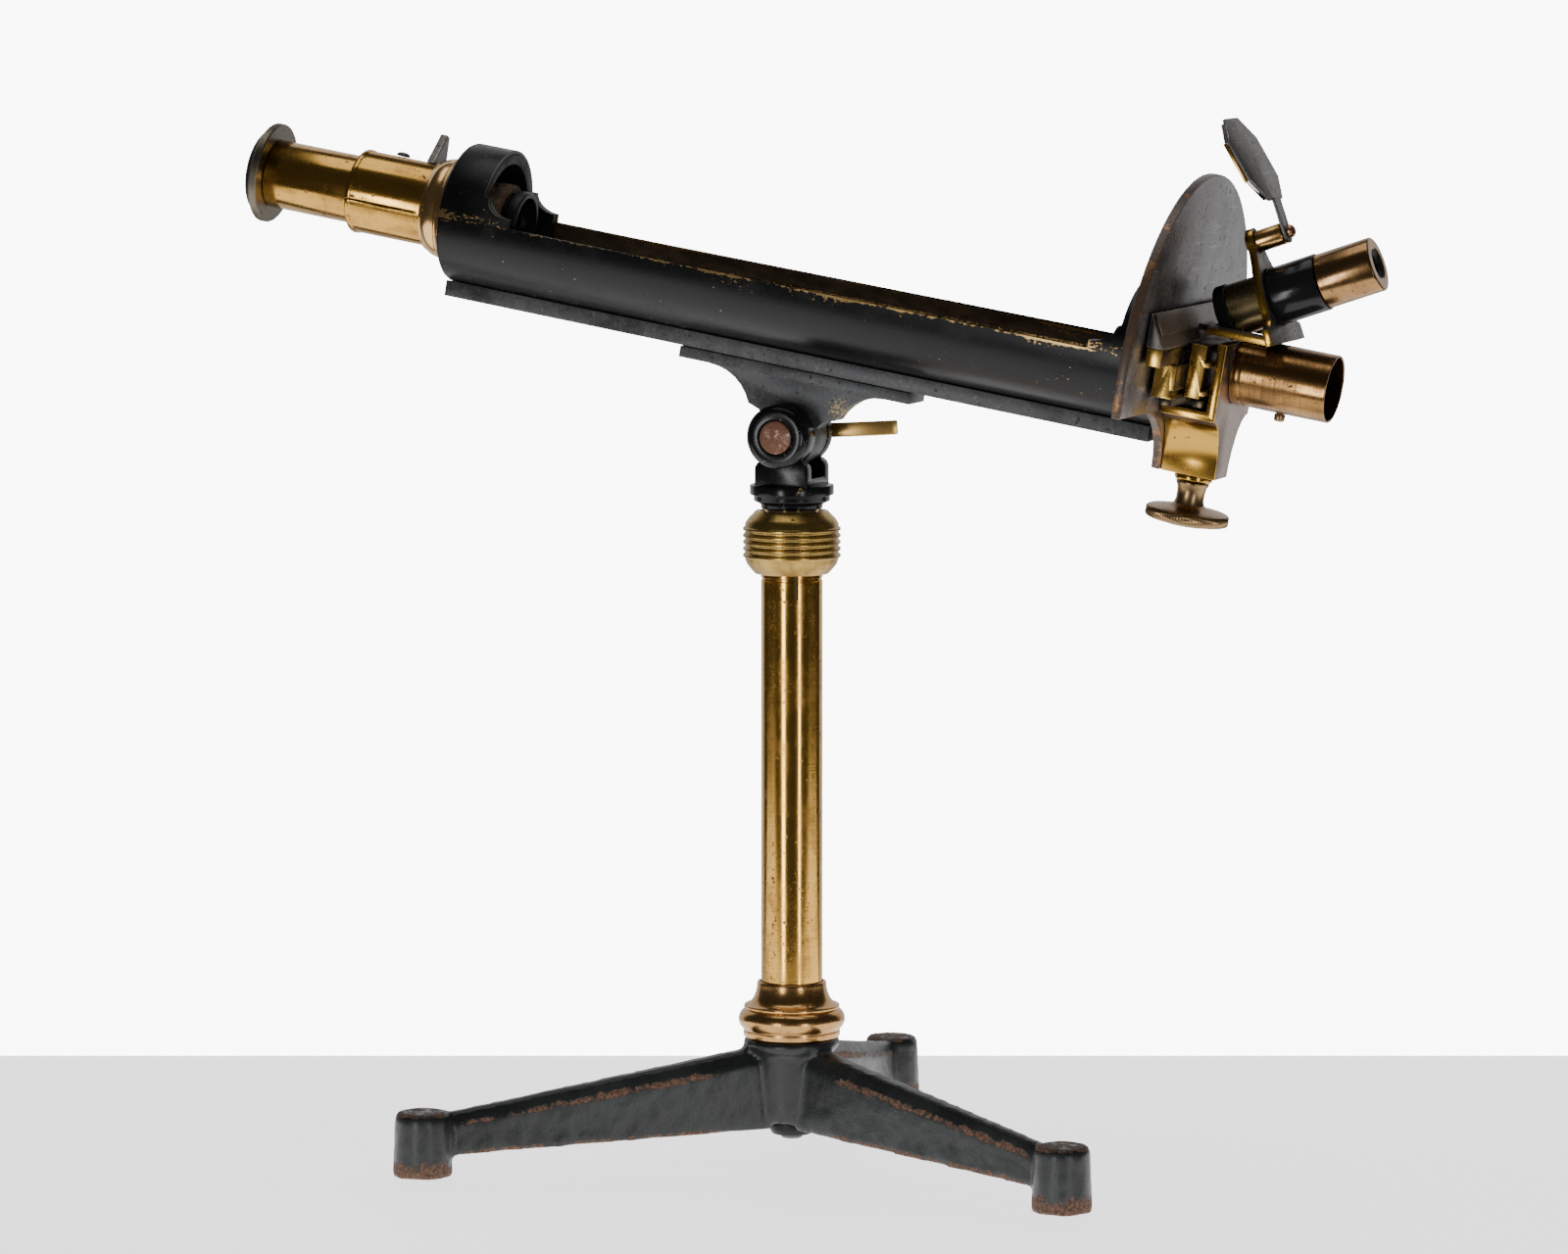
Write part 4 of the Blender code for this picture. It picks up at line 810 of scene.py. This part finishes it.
def make_polariser():
    ogee = [(20.4, -136.0), (20.4, -139.3), (20.6, -139.5), (20.6, -140.6), (20.1, -141.6), (19.5, -142.2)]
    ogee += [(19.5, -142.8), (18.9, -143.2)] + arc((16.2, -143.8), (2.3, 5.4), 3, -66, 8)
    ogee += [(16.6, -149.4), (16.6, -150.1), (16.2, -150.4), (14.07, -150.4), (14.07, -136.0)]
    turned_part("polariser_collar", ogee, tube, "head", "collar_gold", ring=True, sides=128,
                edges=0.18)
    sleeve = lathe([(14.0, -135.6), (14.0, -150.6), (15.15, -150.6), (15.15, -178.4), (15.5, -178.7),
                    (15.6, -179.6), (15.4, -180.3), (15.0, -180.6), (12.6, -180.6), (12.6, -135.6)], 128,
                   ring=True)
    set_down(sleeve, tube)
    slit = slab((-190, -20, -2.4), (-156, -8, -1.7))
    set_down(slit, axis)
    carved(sleeve, slit)
    softened(sleeve, 0.12, 35)
    finished(smooth(sleeve), "polariser_sleeve", "polariser", "tube_brass")
    cad_part("polariser_lug", "polariser", "worn_steel", "edge_steel", 0.3)
    screw = lathe([(0.6, 16.95), (1.6, 16.8), (2.4, 16.2), (2.65, 15.5)], 32)
    softened(screw, 0.1)
    lug_foot = axis @ Matrix.Translation((-167.5 * MM, 0, 0))
    set_down(screw, lug_foot @ Matrix.Rotation(math.radians(-12), 4, "X"))
    finished(smooth(screw), "lug_screw", "polariser", "worn_steel")
    turned_part("half_shade_cell", [(11.1, -114.4), (11.7, -115.0), (11.7, -118.4), (10.6, -119.0),
                                    (9.9, -119.6), (9.9, -135.6), (3.9, -135.6), (3.9, -119.8),
                                    (7.2, -119.8), (8.4, -118.6), (9.2, -116.6), (9.6, -114.4)], tube,
                "polariser", "cell_black", ring=True, sides=96)
    turned_part("half_shade_plate", [(3.6, -126.0), (3.6, -128.0)], tube, "polariser", "crystal",
                sides=48, edges=0.1)
    packing = lathe([(13.2, -121.0), (13.2, -135.3), (10.2, -135.3), (10.2, -121.0)], 64, ring=True)
    editing(packing)
    bpy.ops.mesh.subdivide(number_cuts=3)
    bpy.ops.object.mode_set(mode="OBJECT")
    crumbs = bpy.data.textures.new("cork_crumbs", "CLOUDS")
    crumbs.noise_scale = 0.002
    crumble = packing.modifiers.new("crumbled", "DISPLACE")
    crumble.texture = crumbs
    crumble.strength = 0.35 * MM
    crumble.mid_level = 0.6
    apply_modifiers(packing)
    set_down(packing, tube)
    finished(smooth(packing, 60), "cell_packing", "polariser", "cork")


def make_draw_tube():
    turned_part("draw_tube", [(12.53, -146.0), (12.53, -214.9), (11.5, -214.9), (11.5, -146.0)], tube, "draw",
                "tube_brass", ring=True, sides=128, edges=0.15)
    flange = lathe([(17.9, -215.2), (18.4, -215.6), (18.4, -216.7), (18.4, -217.8), (17.9, -218.3),
                    (9.5, -218.3), (9.5, -215.2)], 240, ring=True)
    knurled(flange, 240, -217.9, -215.5, 18.2, 0.16)
    set_down(flange, tube)
    finished(smooth(flange, 40), "draw_flange", "draw", "flange_olive")
    dome = [(15.7, -218.6), (15.7, -219.6)] + arc((9.2, -219.4), (6.4, 3.0), -8, -90, 8)
    dome += [(8.5, -222.2), (8.3, -221.6), (8.3, -218.6)]
    turned_part("condenser_cell", dome, tube, "draw", "cell_black", ring=True, sides=96,
                edges=0.12)
    lens = [(0.4, -214.6), (4.5, -215.0), (8.0, -216.4), (8.0, -220.4), (6.6, -221.2), (5.0, -221.8),
            (3.2, -222.2), (1.4, -222.45), (0.3, -222.5)]
    turned_part("condenser_lens", lens, tube, "draw", "glass", sides=64, edges=0.05, angle=40)
    cad_part("polariser_prism", "draw", "crystal", width=0.2)
    cad_part("prism_cork", "draw", "cork", width=0.2)


# ---------------------------------------------------------------- compensator

def make_compensator():
    cad_part("shield_disc", "head", "shield_grey", "edge_copper", 0.45, 40, "edge_copper",
             on_the_rim)
    # Painted light: the frame's front faces take a brighter gold as a painted highlight, and its other faces
    # a dull pinkish brass as painted shade.
    cad_part("compensator_frame", "head", "frame_painted_shade_brass", "edge_brass", 0.2, 35,
             "bright_brass")
    for side in ("a", "b"):
        slide = "slide_" + side
        # Painted light: each slide's front faces take a bright gold painted highlight, and its other faces a
        # dark brown copy of the brass as painted shade. The racks use that dark brass as their own colour.
        cad_part("wedge_" + slide, slide, "browned_brass_and_painted_shade", "edge_brass", 0.12, 30,
                 "slide_painted_highlight_brass")
        cad_part("rack_" + side, slide, "browned_brass_and_painted_shade", width=0.06)
        cad_part("quartz_wedge_" + side, slide, "crystal", width=0.15)
    cad_part("scale_head", "slide_a", "scale", "edge_steel", 0.25, 30, "worn_steel")
    cad_part("scale_plate", "slide_a", "scale", width=0.12)
    turned_part("pinion_bush", [(6.8, -39.6), (6.8, -41.0), (6.3, -41.8), (5.8, -42.0), (1.8, -42.0),
                                (1.8, -39.6)], knob, "head", "bright_brass", ring=True, sides=64,
                edges=0.12)
    cad_part("pinion", "knob", "worn_steel", width=0.06)
    shape = [(5.9, -42.3), (5.9, -42.9), (5.3, -44.0), (5.0, -46.0), (5.0, -48.6), (5.5, -50.2), (6.8, -51.0),
             (9.4, -51.6), (13.6, -52.1), (14.5, -52.5), (14.95, -53.0), (14.95, -54.2), (14.95, -55.6),
             (14.5, -56.2), (13.4, -56.6), (8.0, -57.6), (2.0, -58.0)]
    turned = lathe(shape, 176)
    knurled(turned, 176, -55.7, -52.9, 14.7, 0.32)
    bore = lathe([(1.8, -40.0), (1.8, -50.5)], 24)
    carved(turned, bore)
    set_down(turned, knob)
    finished(smooth(turned, 38), "compensator_knob", "knob", "knob_brass")


# ---------------------------------------------------------------- telescopes

def make_telescope():
    turned_part("telescope_socket", [(12.12, 164.65), (12.12, 161.0), (9.8, 161.0), (9.8, 164.65)], tube,
                "head", "scope_brass", ring=True, sides=128, edges=0.04)
    barrel = lathe([(11.9, 195.8), (12.1, 195.5), (12.1, 164.7), (11.3, 164.7), (11.3, 195.5),
                    (11.5, 195.8)], 128, ring=True)
    set_down(barrel, tube)
    stud = axis @ Matrix.Translation((178.0 * MM, 0, 0))
    pilot = lathe([(1.6, -20.0), (1.6, -2.0)], 24)
    set_down(pilot, stud)
    carved(barrel, pilot)
    finished(smooth(barrel), "telescope_tube", "head", "scope_brass")
    turned_part("guide_screw", [(1.3, -9.9), (1.3, -12.4), (1.95, -12.4), (1.95, -14.5), (1.5, -15.0)],
                stud, "head", "knob_brass", sides=40, edges=0.1)
    cad_part("analyser_mount", "head", "cell_black", width=0.15)
    cad_part("analyser_prism", "head", "crystal", width=0.2)


def bare_where(piece, finish, wanted):
    """A second finish where a place on the reading telescope asks for it."""
    piece.data.materials.append(FINISHES[finish])
    back = sight_tube.inverted()
    for face in piece.data.polygons:
        if wanted(back @ face.center):
            face.material_index = len(piece.data.materials) - 1


def make_reading_telescope():
    cad_part("reading_bracket", "head", "worn_steel", "edge_brass", 0.15, 35, "bright_brass")
    cad_part("vernier_plate", "head", "scale", width=0.08)
    barrel = turned_part("reading_tube", [(10.3, 35.4), (10.3, 13.4), (9.35, 13.4), (9.35, 1.9), (8.3, 1.9),
                                          (8.3, 12.0), (9.5, 16.0), (9.5, 35.4)],
                         sight_tube, "head", "sight_black", ring=True, sides=128, edges=0.15)
    bare_where(barrel, "sight_olive", lambda centre: centre.z < 13.3 * MM)
    cell = lathe([(9.4, 1.6), (9.85, 1.2), (9.85, -0.6), (9.85, -2.4), (9.4, -2.9), (6.3, -2.9),
                  (6.3, 1.6)], 160, ring=True)
    knurled(cell, 160, -2.5, 1.3, 9.7, 0.22)
    set_down(cell, sight_tube)
    finished(smooth(cell, 38), "objective_cell", "head", "cell_black")
    turned_part("reading_objective", [(0.5, 1.0), (2.5, 0.9), (4.4, 0.6), (6.0, 0.0), (6.0, -1.6),
                                      (0.5, -1.6)], sight_tube, "head", "glass", sides=64,
                edges=0.05, angle=40)
    ocular = turned_part(
        "reading_eyepiece",
        [(9.2, 56.4), (9.7, 56.1), (9.8, 55.6), (9.8, 36.1), (9.6, 35.8), (9.43, 35.6), (9.43, 20.0),
         (8.6, 20.0), (8.6, 52.0), (4.2, 52.0), (4.2, 54.8), (5.4, 56.0), (5.9, 56.4)],
        sight_tube, "eyepiece", "eyepiece_brass", ring=True, sides=128, edges=0.12)
    bare_where(ocular, "cell_black", lambda centre: math.hypot(centre.x, centre.y) < 5.3 * MM)
    turned_part("eye_lens", [(0.4, 51.7), (5.2, 51.7), (8.2, 50.4), (8.2, 48.4), (0.4, 48.4)], sight_tube,
                "eyepiece", "glass", sides=48, edges=0.05)


def make_mirror():
    turned_part("mirror_boss", [(3.5, 27.3), (3.9, 26.9), (3.9, 13.9), (3.5, 13.5), (1.3, 13.5),
                                (1.3, 27.3)], boss, "head", "sight_brass", ring=True, sides=64)
    turned_part("mirror_screw", [(1.0, 31.4), (1.6, 31.1), (2.3, 30.3), (2.4, 29.1), (1.0, 29.1),
                                 (1.0, 18.0)], boss, "head", "copper_screw", sides=48, edges=0.1)
    cad_part("mirror_arm", "mirror", "worn_steel", "edge_steel", 0.14)
    cad_part("mirror_glass", "mirror", "mirror", width=0.12)
    cad_part("mirror_clip", "mirror", "bright_brass", "edge_brass", 0.12)


make_stand()
make_collar()
make_head_fork()
make_lever()
make_trough()
make_bracket()
make_polariser()
make_draw_tube()
make_compensator()
make_telescope()
make_reading_telescope()
make_mirror()


# ---------------------------------------------------------------- table, light and camera

CAMERA_TURN = math.radians(20.0)
CAMERA_DIP = math.radians(6.2)
CAMERA_DISTANCE = 2.485
LOOK_AT = (0.0, 0.0, 0.19555)  # on the pillar's axis
LOOK_ASIDE = 0.00284
TABLE_BACK = 0.222  # the table's far edge behind the pillar
TABLE_WIDTH, TABLE_DEPTH, TABLE_THICKNESS = 1.9, 0.57, 0.03

forward = Vector((-math.sin(CAMERA_TURN) * math.cos(CAMERA_DIP), math.cos(CAMERA_TURN) * math.cos(CAMERA_DIP),
                  -math.sin(CAMERA_DIP)))
rightward = Vector((math.cos(CAMERA_TURN), math.sin(CAMERA_TURN), 0))
away = Vector((-math.sin(CAMERA_TURN), math.cos(CAMERA_TURN), 0))  # level, from the camera


def make_camera():
    camera = bpy.data.objects.new("camera", bpy.data.cameras.new("camera"))
    bpy.context.scene.collection.objects.link(camera)
    camera.data.lens = 157.5
    camera.data.sensor_width = 36.0
    camera.data.clip_end = 50.0
    look = pillar.translation + Vector(LOOK_AT)
    camera.location = look - forward * CAMERA_DISTANCE - rightward * LOOK_ASIDE
    camera.rotation_mode = "QUATERNION"
    camera.rotation_quaternion = forward.to_track_quat("-Z", "Y")
    bpy.context.scene.camera = camera


def make_table():
    """A pale grey table top with faint dust and scuffs."""
    fresh()
    bpy.ops.mesh.primitive_cube_add(size=1)
    table = bpy.context.active_object
    table.name = "table_top"
    table.scale = (TABLE_WIDTH, TABLE_DEPTH, TABLE_THICKNESS)
    table.rotation_euler = (0, 0, CAMERA_TURN)
    drop = Vector((0, 0, TABLE_THICKNESS / 2))
    table.location = pillar.translation + away * (TABLE_BACK - TABLE_DEPTH / 2) - drop
    bpy.ops.object.transform_apply(location=True, rotation=True, scale=True)
    finish = Finish("table_grey")
    cloud = finish.noise(finish.place, 7, 5, 0.6)
    grit = finish.noise(finish.place, 260, 3, 0.6)
    colour = finish.blend(cloud * 0.5 + grit * 0.3, (0.72, 0.715, 0.72), (0.82, 0.815, 0.82))
    finish.shader.inputs["Emission Color"].default_value = (0.97, 0.96, 0.97, 1)
    finish.shader.inputs["Emission Strength"].default_value = 1.9
    specks = finish.between(finish.noise(finish.place, 150, 2), 0.755, 0.765)
    colour = finish.blend(specks * 0.5, colour, (0.25, 0.24, 0.23))
    table.data.materials.append(finish.wear(colour=colour, roughness=cloud * 0.15 + 0.45,
                                            normal=finish.bump(grit, 0.0002, 0.3)))


def make_light(name, place, aim, size, power):
    light = bpy.data.objects.new(name, bpy.data.lights.new(name, "AREA"))
    bpy.context.scene.collection.objects.link(light)
    light.data.shape = "RECTANGLE"
    light.data.size, light.data.size_y = size
    light.data.energy = power
    light.visible_camera = False
    light.location = place
    light.rotation_mode = "QUATERNION"
    light.rotation_quaternion = (Vector(aim) - Vector(place)).to_track_quat("-Z", "Y")


def make_studio():
    """A dim room with a white wall behind, two upright strip lights in front and one soft light above."""
    world = bpy.data.worlds.new("studio")
    bpy.context.scene.world = world
    world.use_nodes = True
    tree = world.node_tree
    background = tree.nodes["Background"]
    path = tree.nodes.new("ShaderNodeLightPath")
    shade = tree.nodes.new("ShaderNodeMix")
    shade.data_type = "RGBA"
    shade.inputs[6].default_value = (0.055, 0.055, 0.058, 1)
    shade.inputs[7].default_value = (9.5, 9.5, 9.55, 1)
    tree.links.new(path.outputs["Is Camera Ray"], shade.inputs[0])
    tree.links.new(shade.outputs[2], background.inputs["Color"])
    background.inputs["Strength"].default_value = 1.0
    centre = Vector((0.0, 0.0, 0.2))
    low = Vector((0, 0, 0.25))  # the strips stand a little below the centre

    def towards_camera(turn):
        return Matrix.Rotation(math.radians(turn), 3, "Z") @ -away

    make_light("white_wall", centre + away * 1.7, centre, (4.4, 3.6), 42)
    make_light("left_strip", centre + towards_camera(-31) * 1.8 - low, centre, (0.28, 0.8), 9)
    make_light("right_strip", centre + towards_camera(28) * 1.9 - low, centre, (0.13, 0.8), 5.6)
    make_light("top_softbox", centre + Vector((0, 0, 1.7)), centre, (1.6, 1.2), 11)


make_camera()
make_table()
make_studio()
